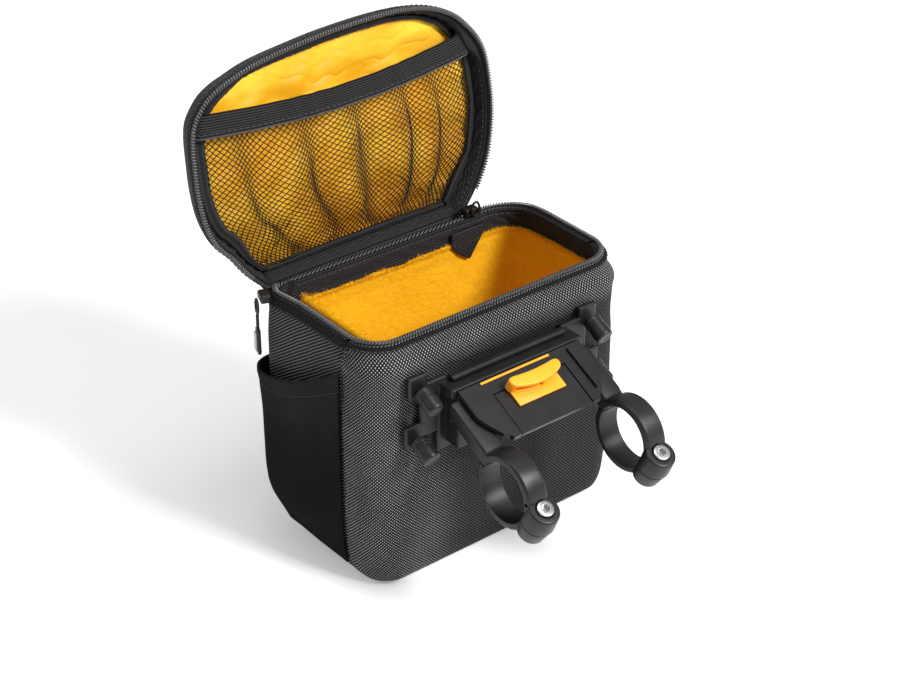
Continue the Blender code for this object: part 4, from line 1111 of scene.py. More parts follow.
def make_lid_shell():
    """The lid's ribbed-cloth tray: outer face, skirt and the inside of both."""
    rows = []
    for shrink in (0.25, 0.5, 0.7, 0.85, 0.94):
        rows.append(lid_loop(LID_PROFILE[0][1], LID_SKIRT, shrink))
    for share in (1.0, 0.985, 0.95, 0.90, 0.84, 0.77, 0.70, 0.6,
                  0.5, 0.42, 0.35, 0.26, 0.18, 0.10, 0.03, 0.0):
        rows.append(lid_loop(lid_profile(share), LID_SKIRT * share))
    first_inner = len(rows)
    for share in (0.0, 0.04, 0.12, 0.25, 0.4, 0.55, 0.7, 0.8, 0.84):
        rows.append(lid_loop(lid_profile(share) + LID_WALL, min(LID_SKIRT * share, LID_SKIRT - LID_WALL)))
    for shrink in (0.92, 0.7, 0.4):
        rows.append(lid_loop(lid_profile(0.84) + LID_WALL, LID_SKIRT - LID_WALL, shrink))
    for r, row in enumerate(rows):
        share = row[0, 1] / LID_SKIRT
        if r < first_inner:
            wobble = smooth_noise(row, 42.0, 9.0) * 0.0005 * (0.2 < share < 0.98)
            row += lid_outward(row) * (wobble - 0.0005 * bell(share, 0.10, 0.05))[:, None]
        if r < 5:
            row[:, 1] += smooth_noise(row, 30.0, 12.0) * 0.0006 * (1.0 if r < 4 else 0.5)
    verts, faces = capped(rows)
    around = path_lengths(rows[10])
    uvs = [row[:, [0, 2]] for row in rows[:6]]
    uvs += [row_uv(around, [0.20 + row[0, 1]]) for row in rows[6:first_inner]]
    uvs += [row_uv(around, [0.22 + row[0, 1]]) for row in rows[first_inner:]]
    made = piece("lid_cloth", lid_world(verts), faces, "lid_ribbed", "ribbed_cloth", np.vstack(uvs))
    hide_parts("lid_shell")
    line = lid_loop(lid_profile(0.14) - 0.0001, LID_SKIRT * 0.14)[2:LID_EDGE_COUNT - 2]
    sew("lid_skirt_stitches", [stitches(line, lid_outward(line), 0.0022, 0.0010, 0.0002)], on_lid=True)


ELASTIC_TOP = 0.805
ELASTIC_SAG = 0.0057
LID_CLEAR = LID_WALL + LID_PROFILE[1][1] + GAP
LID_BORDER = 0.0032


def corner_patch(x, z):
    """Share, 0 to 1, of the black patch over the lid's lower right corner."""
    return bell(x, 0.088, 0.018) * smooth_step((0.030 - z) / 0.020)


def make_lid_lining():
    """Smooth nylon over the lid's floor, with the soft wrinkles of a sheet sewn in round its edge."""
    rows = [lid_loop(LID_CLEAR, LID_FLOOR)]
    shrinks = np.concatenate([[1.0, 0.985, 0.96], np.linspace(0.93, 0.06, 30)])
    for shrink in shrinks:
        row = lid_loop(LID_CLEAR, 0.0, shrink)
        share = 1 - shrink
        puff = 0.0007 + 0.0010 * smooth_step(share / 0.3)
        x, z = row[:, 0], row[:, 2]
        flow = x * 0.55 - z
        wrinkle = (
            0.0007 * np.sin(flow * 210.0 + 5.0 * np.sin(x * 37.0 + 1.0) + 2.0 * np.sin(z * 48.0))
            + 0.0005 * np.sin((x * 0.9 + z) * 155.0 + 4.0 * np.sin(z * 41.0 + 0.7))
            + 0.0006 * smooth_noise(row * [1, 0, 1.7], 75.0, 14.0)
        )
        gather = np.sin(path_lengths(row) * 2 * math.pi / 0.013 + 1.5 * np.sin(x * 90.0))
        gather = 0.0006 * gather * bell(share, 0.05, 0.05)
        row[:, 1] = LID_FLOOR - puff - (wrinkle * smooth_step(share / 0.05) + gather)
        row[:, 1] = np.minimum(row[:, 1], LID_FLOOR - 0.0003)
        rows.append(row)
    verts, faces = capped(rows)
    made = piece("lid_nylon", lid_world(verts), faces, "nylon", "yellow_nylon", verts[:, [0, 2]])
    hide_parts("lid_lining")
    x, z = rows[1][:, 0], rows[1][:, 2]


def make_lid_facing():
    """Black tape inside the skirt, from the coil back to the nylon, puckered along its inner edge."""
    edge = LID_WALL + GAP
    deep = LID_WALL + LID_PROFILE[2][1] + 2 * GAP
    back = LID_SKIRT * LID_PROFILE[2][0]
    shares = np.linspace(0, 1, 12)

    def run(share, stand):
        """A row of the tape at a share of its depth, standing off the skirt."""
        return lid_loop(edge + (deep - edge) * share + stand, GAP + (back - GAP) * share)

    outer = [run(s, 0.0) for s in shares]
    inner = []
    end = float(elastic_line(1.0)) - ELASTIC_WIDTH / 2
    for s in shares[::-1]:
        row = run(s, TAPE)
        pucker = np.maximum(gathers(path_lengths(row), 0.0085, 2.0, 47.0), -0.4)
        pucker = 0.0011 * pucker * bell(s, 0.62, 0.25)
        cover = 0.0042 * bell(row[:, 2], end, 0.0085) * (row[:, 0] > 0) * smooth_step((0.62 - s) / 0.30)
        crease = 0.0003 * smooth_noise(row, 160.0, 15.0) * bell(s, 0.5, 0.4)
        row[:, [0, 2]] += lid_inward(row) * (pucker + cover + crease + 0.0003)[:, None]
        inner.append(row)
    back_row = inner[0]
    x, z = back_row[:, 0], back_row[:, 2]
    patch = corner_patch(x, z)
    reach = LID_BORDER + 0.0030 * smooth_step((-x - 0.055) / 0.02) + 0.0050 * patch
    around = path_lengths(back_row)
    ragged = 0.0005 * smooth_noise(back_row, 150.0, 44.0) + 0.0006 * smooth_noise(back_row, 60.0, 45.0)
    inward = lid_inward(back_row)
    border = []
    for share, lift in ((1.0, 0.0), (1.02, 0.0005), (1.0, 0.0010),
                        (0.75, 0.0013), (0.4, 0.0011), (0.1, 0.0008)):
        row = back_row.copy()
        row[:, [0, 2]] += inward * ((reach + ragged * (share > 0.6)) * share)[:, None]
        wave_up = 0.0005 * np.abs(gathers(around, 0.0085, 2.0, 47.0)) * share
        row[:, 1] = LID_FLOOR - 0.0031 - lift - wave_up * (1 - patch) - 0.0012 * patch * min(share * 3, 1)
        border.append(row)
    rows = outer + border + inner
    uvs = row_uv(path_lengths(outer[5]), 0.0009 * np.arange(len(rows)))
    faces = grid_faces(len(rows), len(rows[0]), wrap_columns=True, wrap_rows=True)
    made = piece("lid_tape_inside", lid_world(np.vstack(rows)), faces, "tape", "black_tape", uvs)
    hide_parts("lid_facing")
    line = run(0.2, TAPE + 0.0004)[2:LID_EDGE_COUNT - 2]
    inward = np.insert(lid_inward(line), 1, 0.0, axis=1)
    sew("lid_tape_stitches", [stitches(line, inward, 0.0020, 0.0009, 0.0002)], on_lid=True)


NET_FOLDS = (
    # place and width (shares of the pocket's width), depth (metres)
    (0.09, 0.030, 0.0014),
    (0.155, 0.036, -0.0030),
    (0.27, 0.060, 0.0020),
    (0.365, 0.044, -0.0042),
    (0.45, 0.045, 0.0028),
    (0.535, 0.040, -0.0040),
    (0.64, 0.050, 0.0032),
    (0.725, 0.036, -0.0028),
    (0.80, 0.030, 0.0022),
    (0.855, 0.030, -0.0020),
    (0.92, 0.024, 0.0012),
)
# Net size and cell in metres, and points along a strand for each half cell
NET_WIDE = 0.172
NET_HIGH = 0.086
NET_CELL = 0.0034
NET_STEPS = 3


def elastic_line(across):
    """Height of the elastic's upper edge in the lid's frame, sagging between its ends."""
    return LID_LENGTH * ELASTIC_TOP - ELASTIC_SAG * np.sin(math.pi * np.asarray(across)) - LID_FOOT


def net_place(across, up):
    """Point of the gathered net sheet at shares of its width and height, in the lid's frame."""
    side = LID_CLEAR + TAPE
    top = elastic_line(across) - ELASTIC_WIDTH + 0.0012
    foot = -LID_FOOT + side + 0.0012
    z = foot + (top - foot) * up
    left = np.interp(z, NET_LIMITS[:, 0], NET_LIMITS[:, 1])
    right = np.interp(z, NET_LIMITS[:, 0], NET_LIMITS[:, 2])
    sway = np.sin(math.pi * across)
    edge = np.sqrt(np.clip(sway, 0, 1))
    belly = np.sin(math.pi * np.minimum(up * 1.15, 1.0) * 0.62) * edge
    lean = across - 0.060 * (1 - up) * sway - 0.012 * np.sin(up * 5.0 + across * 7.0) * sway
    strength = edge * np.sin(math.pi * (0.06 + 0.80 * up))
    fold = np.zeros_like(lean)
    pinch = np.zeros_like(lean)
    for place, width, depth in NET_FOLDS:
        away = (lean - place) / width
        hump = np.exp(-away ** 2)
        fold += depth * hump
        if depth < 0:
            pinch -= 0.0034 * away * np.exp(-(away / 1.8) ** 2)
    small = 0.0004 * np.sin(lean * 92.0 + 3.0 * np.sin(up * 4.0)) * np.sin(math.pi * up)
    x = left + (right - left) * across
    rise = (0.0090 * belly + (fold + small) * strength) * (1 - 0.8 * corner_patch(x, z))
    x = x + pinch * strength
    z = z - 0.0030 * sway * (1 - up) * up * 4 * np.sin(across * 8.0)
    y = LID_FLOOR - 0.0019 - np.maximum(rise, 0.0002)
    return np.stack([x, y, z], axis=-1)


NET_LIMITS = np.array([
    (z, *lid_limits(z, LID_CLEAR + TAPE)) for z in np.linspace(-LID_FOOT + 0.004, 0.105, 60)
])


def make_net():
    """Diamond net of knotless strands, gathered so that its cells bend with the folds."""
    count_u = int(NET_WIDE / (NET_CELL / 2))
    count_v = int(NET_HIGH / (NET_CELL / 2))
    vs = np.arange(0, count_v * NET_STEPS + 1) / NET_STEPS
    strands = []
    for way in (1, -1):
        for start in range(-count_v, count_u + count_v + 1, 2):
            us = start + way * vs
            inside = (us >= 0) & (us <= count_u)
            if inside.sum() < 3:
                continue
            u, v = us[inside], vs[inside]
            wiggle = 0.06 * way * np.sin(math.pi * v)
            points = net_place((u + wiggle) / count_u, v / count_v)
            points[:, 1] += 0.00012 * way * np.cos(math.pi * (u + v)) - 0.0001
            strands.append(tube_arrays(points, 0.00030, 3, (0, 1, 0)))
    verts, faces = merge(strands)
    made = piece("lid_net_strands", lid_world(verts), faces, "strand", "net")
    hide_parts("lid_net")
    along = np.linspace(0, 1, 220)
    ups = np.linspace(0, 1, 120)
    border = [net_place(along, np.zeros_like(along))]
    border += [net_place(np.full_like(ups, side), ups) for side in (0.0, 1.0)]
    verts, faces = merge([tube_arrays(line, 0.0008, 6, (0, 1, 0)) for line in border])
    piece("lid_net_binding", lid_world(verts), faces, "strand", "net")
    print("net strands", len(strands))


def make_elastic():
    """Ribbed elastic along the pocket's mouth, its ribs and binding in real relief."""
    steps = 260
    thickness = 0.0014
    ribs = 9
    across = np.linspace(0, 1, steps)
    top = elastic_line(across)
    low = top - ELASTIC_WIDTH
    sway = np.sin(math.pi * across)
    y = GAP - 0.0030 * sway + 0.0003 * np.sin(across * 60.0 + 2.0 * np.sin(across * 17.0)) * sway
    profile = np.linspace(0, 1, 46)
    tuck = LID_WALL + TAPE + 2.5 * GAP

    def spread(share):
        """The row's own x places: its ends reach the tape inside the skirt at that height."""
        z_left = low[0] + (top[0] - low[0]) * share
        z_right = low[-1] + (top[-1] - low[-1]) * share
        start = lid_limits(z_left, tuck)[0]
        end = lid_limits(z_right, tuck)[1]
        return start + (end - start) * across

    y = y + 0.0022 * bell(across, 0, 0.012) + 0.0052 * bell(across, 1, 0.026)
    rows = []
    for share in profile:
        rib = 0.00022 * abs(math.sin(math.pi * ribs * share)) ** 0.7
        round_edge = 0.0005 * (bell(share, 0, 0.02) + bell(share, 1, 0.02))
        face = y + round_edge + 0.0002 - rib
        rows.append(np.column_stack([spread(share), face, low + (top - low) * share]))
    for share in (1.0, 0.5, 0.0):
        rows.append(np.column_stack([spread(share), y + thickness, low + (top - low) * share]))
    verts, faces = closed_strip(rows)
    around = path_lengths(rows[10])
    uvs = row_uv(around, np.concatenate([profile * ELASTIC_WIDTH, [0.02, 0.025, 0.03]]))
    made = piece("lid_elastic_band", lid_world(verts), faces, "elastic", "black_tape", uvs)
    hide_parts("lid_elastic")
    x = spread(0.1)
    line = np.column_stack([x, y - 0.0001, low + 0.0021])
    thread = stitches(line, np.tile([0.0, -1.0, 0.0], (steps, 1)), 0.0022, 0.0012, 0.00024)
    binding = resample(np.column_stack([x, y + 0.0006, low - 0.0002]), 0.001)
    sew("lid_elastic_trim", [thread, tube_arrays(binding, 0.0006, 6, (0, 1, 0))], on_lid=True)


# Hinge

def make_hinge():
    """Cloth strip sewn to the far wall and under the lid's foot, rippled where it folds."""
    left = LID_SHIFT + LID_OUTLINE[0][0] * LID_WIDTH / 2 + GAP
    right = LID_SHIFT + LID_OUTLINE[-1][0] * LID_WIDTH / 2 - 0.0020
    wall = SECTIONS[5][3] * BAG_DEPTH + FAR_SKEW / 2 + GAP
    cloth = 0.0012
    low = 0.82 * BAG_HEIGHT
    under = []
    for depth, inset in LID_PROFILE[:1:-1]:
        under.append(LID_FRAME @ Vector((0.0, LID_SKIRT * depth, inset - LID_FOOT - 1.3 * GAP)))
    face = [(wall, low + (under[0].z - cloth - low) * s) for s in np.linspace(0, 1, 12)]
    shelf = [(p.y, p.z) for p in under]
    inner = np.array(face + [(wall + 0.0001, under[0].z - 0.0002)] + shelf)
    way = unit(np.gradient(inner, axis=0))
    outer = inner + np.column_stack([way[:, 1], -way[:, 0]]) * cloth
    outer[:12, 0] = wall + cloth
    loop = np.vstack([inner, outer[::-1]])
    xs = np.linspace(left, right, 120)
    rows = np.array([np.column_stack([np.full(len(loop), x), loop]) for x in xs])
    ripple = 0.0004 * np.maximum(gathers(xs, 0.011, 2.0, 53.0), -0.3)
    half = len(inner)
    for k in range(half, len(loop)):
        share = (k - half) / (len(loop) - half)
        rows[:, k, 1] += ripple * bell(share, 0.45, 0.3)
    uvs = row_uv(path_lengths(loop), xs)[:, ::-1]
    made = piece("hinge_cloth", *capped(rows), "tape", "black_tape", uvs)
    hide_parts("hinge_strip")
    parts = []
    for z in (low + 0.0018, low + 0.0060):
        line = np.column_stack([xs, np.full(len(xs), wall + cloth + 0.0001), np.full(len(xs), z)])
        parts.append(stitches(line, np.tile([0.0, 1.0, 0.0], (len(xs), 1)), 0.0024, 0.0010, 0.0002))
    sew("hinge_stitches", parts)


def make_gusset():
    """Webbing corner at the lid's lower right, folded to a point inside the far wall."""
    centre = LID_SHIFT + LID_OUTLINE[-1][0] * LID_WIDTH / 2 - 0.0055
    half = 0.0105
    top = RIM - RIM_DROP - 0.0040
    tip = top - 0.019
    back = 0.468 * BAG_DEPTH - WALL - LINING - 2 * GAP - FAR_SKEW / 2
    thickness = 0.0012
    edge = np.array([(-half, top), (0, top), (half, top), (half, top - 0.007), (half * 0.62, top - 0.0125),
                     (0.002, tip), (-half * 0.45, top - 0.0145), (-half, top - 0.009)])
    dense = []
    for a, b in zip(edge, np.roll(edge, -1, axis=0)):
        dense.extend(a + (b - a) * s for s in np.linspace(0, 1, 10, endpoint=False))
    dense = np.array(dense)
    middle = dense.mean(axis=0)
    rows = []
    for shrink, y in ((0.3, 0), (0.7, 0), (0.93, 0.00005), (0.99, 0.0003), (1.0, thickness * 0.5),
                      (0.99, thickness - 0.0002), (0.9, thickness), (0.3, thickness)):
        loop = middle + (dense - middle) * shrink
        rows.append(np.column_stack([centre + loop[:, 0], np.full(len(loop), back - y), loop[:, 1]]))
    verts, faces = capped(rows)
    made = piece("hinge_webbing_corner", verts, faces, "elastic", "black_tape", verts[:, [0, 2]])
    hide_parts("hinge_gusset")


# Pull rings

def ring_piece(name, node, turn):
    """Cord loop of a zip pull, rounder than its solid, in the same place."""
    low, high = (np.array(corner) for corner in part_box(node))
    wire = 0.0007
    half_wide = 0.0026
    half_tall = (high[2] - low[2]) / 2 - wire
    way = np.array([math.cos(math.radians(turn)), math.sin(math.radians(turn)), 0.0])
    up = np.array([0.0, 0.0, 1.0])
    angles = np.linspace(0, 2 * math.pi, 60)
    oval = np.outer(np.cos(angles) * half_wide, way) + np.outer(np.sin(angles) * half_tall, up)
    verts, faces = tube_arrays((low + high) / 2 + oval, wire, 8, np.cross(way, up))
    made = piece(name, verts, faces, "plastic", "black_plastic")
    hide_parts(node)


# Mount: sizes and places as in the solids

BAR_RADIUS = 0.0159
MOUNT_X = -0.003
DECK_SLOPE = math.radians(27.0)
CLAMP_ANGLE = math.radians(62.0)
CLAMP_RADIUS = BAR_RADIUS + 0.0038
CLAMP_WIDTH = 0.0125
CLAMP_OUTER = 0.045
BOLT_REACH = 0.0205
BOLT_OFFSET = 0.038
BOSS_RADIUS = 0.0080
BOLT_HEAD_RADIUS = 0.0044
BOLT_SHANK_RADIUS = 0.0025
PARTING = 0.0012
PLATE_FACE = -0.530 * BAG_DEPTH - GAP
HOUSING_FACE = PLATE_FACE - 0.0138
LEDGE_TOP = BAG_HEIGHT - 0.0270
ACROSS = Vector((1.0, 0.0, 0.0))
DOWN_SLOPE = Vector((0.0, -math.cos(DECK_SLOPE), -math.sin(DECK_SLOPE)))
DECK_NORMAL = Vector((0.0, -math.sin(DECK_SLOPE), math.cos(DECK_SLOPE)))
DECK_FAR = Vector((MOUNT_X, HOUSING_FACE - GAP, LEDGE_TOP - 0.0008))
BAR_CENTRE = Vector((MOUNT_X, HOUSING_FACE - 0.0414, LEDGE_TOP - 0.0355))
BOSS_WAY = Vector((0.0, -math.sin(CLAMP_ANGLE), -math.cos(CLAMP_ANGLE)))
BOLT_WAY = Vector((0.0, -math.cos(CLAMP_ANGLE), math.sin(CLAMP_ANGLE)))
ARM_DROP = 0.0350
ARM_HEEL = 0.58
STUD_RADIUS = 0.0048
STUD_LENGTH = 0.0125
EAR_STAND = 0.0037


def lump(verts, faces):
    """A temporary solid, used to shape a moulding and then removed."""
    mesh = bpy.data.meshes.new("lump")
    mesh.from_pydata([tuple(v) for v in verts], [], faces)
    made = bpy.data.objects.new("lump", mesh)
    bpy.context.scene.collection.objects.link(made)
    return made


def extrude(outline, step):
    """Solid between an outline of 3-D points and the same outline moved by step."""
    first = [Vector(point) for point in outline]
    count = len(first)
    verts = first + [point + Vector(step) for point in first]
    faces = [(i, (i + 1) % count, count + (i + 1) % count, count + i) for i in range(count)]
    faces += [tuple(range(count))[::-1], tuple(range(count, 2 * count))]
    return lump(verts, faces)


def rod(radius, length, centre, way, sides=96, top=None):
    """Round bar about its centre; top is its radius at the far end, where that differs."""
    way = Vector(way).normalized()
    side = way.orthogonal().normalized()
    other = way.cross(side)
    verts = []
    for end, size in ((-0.5, radius), (0.5, radius if top is None else top)):
        for i in range(sides):
            angle = 2 * math.pi * i / sides
            verts.append(Vector(centre) + way * (length * end)
                         + (side * math.cos(angle) + other * math.sin(angle)) * size)
    faces = [(i, (i + 1) % sides, sides + (i + 1) % sides, sides + i) for i in range(sides)]
    faces += [tuple(range(sides))[::-1], tuple(range(sides, 2 * sides))]
    return lump(verts, faces)


def block(size, centre, axes=None):
    """Box about its centre, square to the given axes."""
    axes = axes or (Vector((1, 0, 0)), Vector((0, 1, 0)), Vector((0, 0, 1)))
    corners = []
    for z in (-0.5, 0.5):
        for x, y in ((-0.5, -0.5), (0.5, -0.5), (0.5, 0.5), (-0.5, 0.5)):
            corners.append(Vector(centre) + axes[0] * (x * size[0]) + axes[1] * (y * size[1])
                           + axes[2] * (z * size[2]))
    faces = [(0, 3, 2, 1), (4, 5, 6, 7), (0, 1, 5, 4), (1, 2, 6, 5), (2, 3, 7, 6), (3, 0, 4, 7)]
    return lump(corners, faces)


def right_way_out(made):
    """Turns all faces of a temporary solid outwards."""
    shape = bmesh.new()
    shape.from_mesh(made.data)
    bmesh.ops.recalc_face_normals(shape, faces=shape.faces[:])
    shape.to_mesh(made.data)
    shape.free()


def rounded(made, width, segments=3, angle=30.0):
    """A temporary solid with its edges over an angle rounded off."""
    right_way_out(made)
    step = made.modifiers.new("round", "BEVEL")
    step.width = width
    step.segments = segments
    step.limit_method = "ANGLE"
    step.angle_limit = math.radians(angle)
    return settle(made)


def settle(made):
    """Applies the modifiers of a temporary solid."""
    bpy.context.view_layer.update()
    graph = bpy.context.evaluated_depsgraph_get()
    mesh = bpy.data.meshes.new_from_object(made.evaluated_get(graph))
    made.modifiers.clear()
    made.data = mesh
    return made


def shape_with(base, joined, cut):
    """Adds some solids to base, cuts others out of it, and clears them all away."""
    right_way_out(base)
    for tool, operation in [(tool, "UNION") for tool in joined] + [(tool, "DIFFERENCE") for tool in cut]:
        right_way_out(tool)
        step = base.modifiers.new("shape", "BOOLEAN")
        step.object = tool
        step.operation = operation
        step.solver = "EXACT"
        settle(base)
        bpy.data.objects.remove(tool)
    return base


def moulding(made, name, look, body, node):
    """Turns a shaped solid into a named piece in place of its CAD node."""
    made.name = name
    made.data.name = name
    made.data.materials.clear()
    made.data.materials.append(LOOKS[look])
    made.data.shade_smooth()
    made.data.set_sharp_from_angle(angle=math.radians(38.0))
    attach(made, body)
    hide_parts(node)
    return made


def bolt_point(x, along):
    """Point on a bolt's axis, measured along it from the parting."""
    place = BAR_CENTRE + BOSS_WAY * BOLT_REACH + BOLT_WAY * along
    return Vector((x, place.y, place.z))


def half_space(x, sign):
    """Block that covers one side of the clamp's parting."""
    size = (0.060, 0.090, 0.050)
    centre = BAR_CENTRE + BOLT_WAY * (sign * size[2] / 2 - sign * PARTING / 2)
    return block(size, (x, centre.y, centre.z), (ACROSS, BOLT_WAY.cross(ACROSS), BOLT_WAY))


def clamp_disc(x):
    disc = rod(CLAMP_RADIUS, CLAMP_WIDTH - 0.0004, (x, BAR_CENTRE.y, BAR_CENTRE.z), ACROSS)
    return rounded(disc, 0.0012, 4)


def bar_bore(x):
    return rod(BAR_RADIUS + GAP, 0.060, (x, BAR_CENTRE.y, BAR_CENTRE.z), ACROSS)


def bolt_bore(x):
    return rod(BOLT_SHANK_RADIUS + GAP, 0.040, bolt_point(x, 0.0), BOLT_WAY, 32)


def bar_point(x, away, angle):
    """Point beside the bar: at a distance from its axis and an angle up from the near side."""
    turn = math.radians(angle)
    return Vector((x, BAR_CENTRE.y - away * math.cos(turn), BAR_CENTRE.z + away * math.sin(turn)))


def arm(start_x, width):
    """Side outline of an arm, from the housing down to the clamp, given its width."""
    start = HOUSING_FACE - 0.0006
    run = 0.0250
    top = LEDGE_TOP - 0.0050
    heel = CLAMP_RADIUS * ARM_HEEL
    points = [(start, LEDGE_TOP - ARM_DROP), (start, top), (start - run, top - run * math.tan(DECK_SLOPE))]
    for i in range(31):
        angle = math.radians(50.0 + 130.0 * i / 30)
        points.append((BAR_CENTRE.y + CLAMP_RADIUS * math.cos(angle),
                       BAR_CENTRE.z + CLAMP_RADIUS * math.sin(angle)))
    points += [(BAR_CENTRE.y, BAR_CENTRE.z - heel / 3), (BAR_CENTRE.y + CLAMP_RADIUS, BAR_CENTRE.z - heel)]
    return extrude([(start_x, y, z) for y, z in points], (width, 0, 0))


def make_bracket():
    """Both arms with their clamp halves, rounded as moulded, with ribs, a gate mark and bolt seats."""
    beam = block((0.084, 0.010, 0.020), (MOUNT_X, HOUSING_FACE - 0.0058, LEDGE_TOP - 0.021))
    joined = []
    cut = []
    rib_way = Vector((0.0, -0.0186, -0.0060)).normalized()
    rib_axes = (ACROSS, rib_way, ACROSS.cross(rib_way))
    for side in (-1, 1):
        outer = MOUNT_X + side * CLAMP_OUTER
        inner = outer - side * CLAMP_WIDTH
        middle = (outer + inner) / 2
        bolt_x = MOUNT_X + side * BOLT_OFFSET
        joined += [
            rounded(arm(min(outer, inner), CLAMP_WIDTH), 0.0016, 4, 25.0),
            clamp_disc(middle),
            rounded(rod(BOSS_RADIUS + 0.0010, 0.0110, bolt_point(bolt_x, 0.0055), BOLT_WAY, 64, BOSS_RADIUS),
                    0.0011, 4),
            block((0.0008, 0.0200, 0.0011), (outer + side * 0.00025, -0.0712, 0.0841), rib_axes),
        ]
        cut += [
            bar_bore(middle),
            half_space(middle, -1),
            rod(BOLT_HEAD_RADIUS + 0.0006, 0.0080, bolt_point(bolt_x, 0.0115), BOLT_WAY, 48),
            bolt_bore(bolt_x),
            rod(0.0011, 0.0040, bar_point(outer, CLAMP_RADIUS - 0.0021, 7.0), ACROSS, 24),
        ]
    made = shape_with(rounded(beam, 0.0012), joined, cut)
    moulding(made, "bracket_moulding", "plastic", "bracket", "bracket")


def make_cap(tag, side):
    """Lower half of a clamp, with the boss that its bolt screws into."""
    middle = MOUNT_X + side * (CLAMP_OUTER - CLAMP_WIDTH / 2)
    bolt_x = MOUNT_X + side * BOLT_OFFSET
    boss = rod(BOSS_RADIUS - 0.0010, 0.0105, bolt_point(bolt_x, -0.00525), BOLT_WAY, 64, BOSS_RADIUS + 0.0005)
    made = shape_with(clamp_disc(middle), [rounded(boss, 0.0011, 4)],
                      [bar_bore(middle), half_space(middle, 1), bolt_bore(bolt_x)])
    moulding(made, "clamp_half_" + tag, "plastic", "bracket", "clamp_cap_" + tag)


def make_bolt(tag, side):
    """Steel bolt with a six-sided socket in its head."""
    bolt_x = MOUNT_X + side * BOLT_OFFSET
    seat = 0.0075 + GAP
    head = 0.0045
    shank = rod(BOLT_SHANK_RADIUS, 0.0180, bolt_point(bolt_x, seat - 0.0080), BOLT_WAY, 32)
    socket = rod(0.0024, 0.0050, bolt_point(bolt_x, seat + head), BOLT_WAY, 6)
    base = rounded(rod(BOLT_HEAD_RADIUS, head, bolt_point(bolt_x, seat + head / 2), BOLT_WAY, 64), 0.0006, 3)
    made = shape_with(base, [shank], [socket])
    moulding(made, "socket_bolt_" + tag, "steel", "bracket", "clamp_bolt_" + tag)


STUD_PROFILE = (
    # along (share of STUD_LENGTH), radius (share of STUD_RADIUS)
    (0.00, 0.90), (0.02, 0.98), (0.06, 1.00), (0.20, 1.00), (0.215, 0.94), (0.245, 0.94), (0.26, 1.00),
    (0.34, 1.00), (0.355, 0.90), (0.425, 0.90), (0.44, 1.00), (0.86, 1.00), (0.93, 0.985), (0.975, 0.94),
    (1.00, 0.84), (1.00, 0.50), (0.985, 0.46), (0.985, 0.10),
)


def make_stud(tag, row, side, across_by, height):
    """Grooved post with two fine rings and a dished end."""
    foot = Vector((MOUNT_X + side * across_by, PLATE_FACE - EAR_STAND - GAP, height))
    start = foot + DOWN_SLOPE * (STUD_RADIUS * math.tan(DECK_SLOPE))
    other = DOWN_SLOPE.cross(ACROSS)
    rows = []
    for along, size in STUD_PROFILE:
        spot = start + DOWN_SLOPE * (STUD_LENGTH * along)
        rows.append([spot + (ACROSS * math.cos(a) + other * math.sin(a)) * (STUD_RADIUS * size)
                     for a in np.linspace(0, 2 * math.pi, 48, endpoint=False)])
    made = lump(*capped(rows))
    right_way_out(made)
    moulding(made, "post_" + row + "_" + tag, "plastic", "bag", "stud_" + row + "_" + tag)


def deck_point(x, along, rise):
    """Point over the deck: across it, down its slope and off its face."""
    return DECK_FAR + Vector((x, 0.0, 0.0)) + DOWN_SLOPE * along + DECK_NORMAL * rise


def deck_slab(outline, low, high):
    """Slab over the deck between two heights off its face."""
    return extrude([deck_point(x, along, low) for x, along in outline], DECK_NORMAL * (high - low))


def make_tab():
    """Yellow finger tab: a foot plate and a bowed lip over a slot, parted by a small rib."""
    half = 0.0150
    foot = [(-half, 0.0110), (half, 0.0110), (half, 0.0205), (-half, 0.0205)]
    base = rounded(deck_slab(foot, 0.0, 0.0012), 0.0003, 2)
    bow = 0.0038
    xs = np.linspace(-half - 0.001, half + 0.001, 41)
    curve = bow * np.cos(math.pi * xs / (2 * half + 0.004))
    near = 0.0120 + curve
    far = 0.0066 + 0.35 * curve
    round_end = np.clip((np.abs(xs) - 0.0122) / (half + 0.001 - 0.0122), 0, 1)
    slim = 0.30 + 0.70 * np.sqrt(1 - round_end ** 2)
    middle = (near + far) / 2
    near = middle + (near - middle) * slim
    far = middle + (far - middle) * slim
    lip = list(zip(xs, near)) + list(zip(xs, far))[::-1]
    slots = []
    for low, high in ((-half + 0.0012, 0.0022), (0.0036, half - 0.0012)):
        slot = [(low, 0.0096), (high, 0.0096), (high, 0.0240), (low, 0.0240)]
        slots.append(rounded(deck_slab(slot, 0.0022, 0.0060), 0.0012))
    made = shape_with(base, [rounded(deck_slab(lip, 0.0002, 0.0076), 0.0009, 4, 40.0)], slots)
    moulding(made, "release_lip", "yellow", "release", "release_tab")


def dress_solids():
    """Finishes the solids that show as they are."""
    finish = {
        "plastic": ("back_plate", "ledge_bar", "deck", "deck_rib", "release_tongue", "zip_slider_left",
                    "zip_slider_right", "zip_pull"),
        "yellow": ("deck_stripe",),
        "reflective": ("zip_inset",),
    }
    for look, nodes in finish.items():
        for node in nodes:
            made = bpy.data.objects.get(node)
            if made is None:
                raise RuntimeError("no solid called " + node)
            for slot in made.material_slots:
                slot.material = LOOKS[look]
            if not made.material_slots:
                made.data.materials.append(LOOKS[look])


# Floor, light and camera

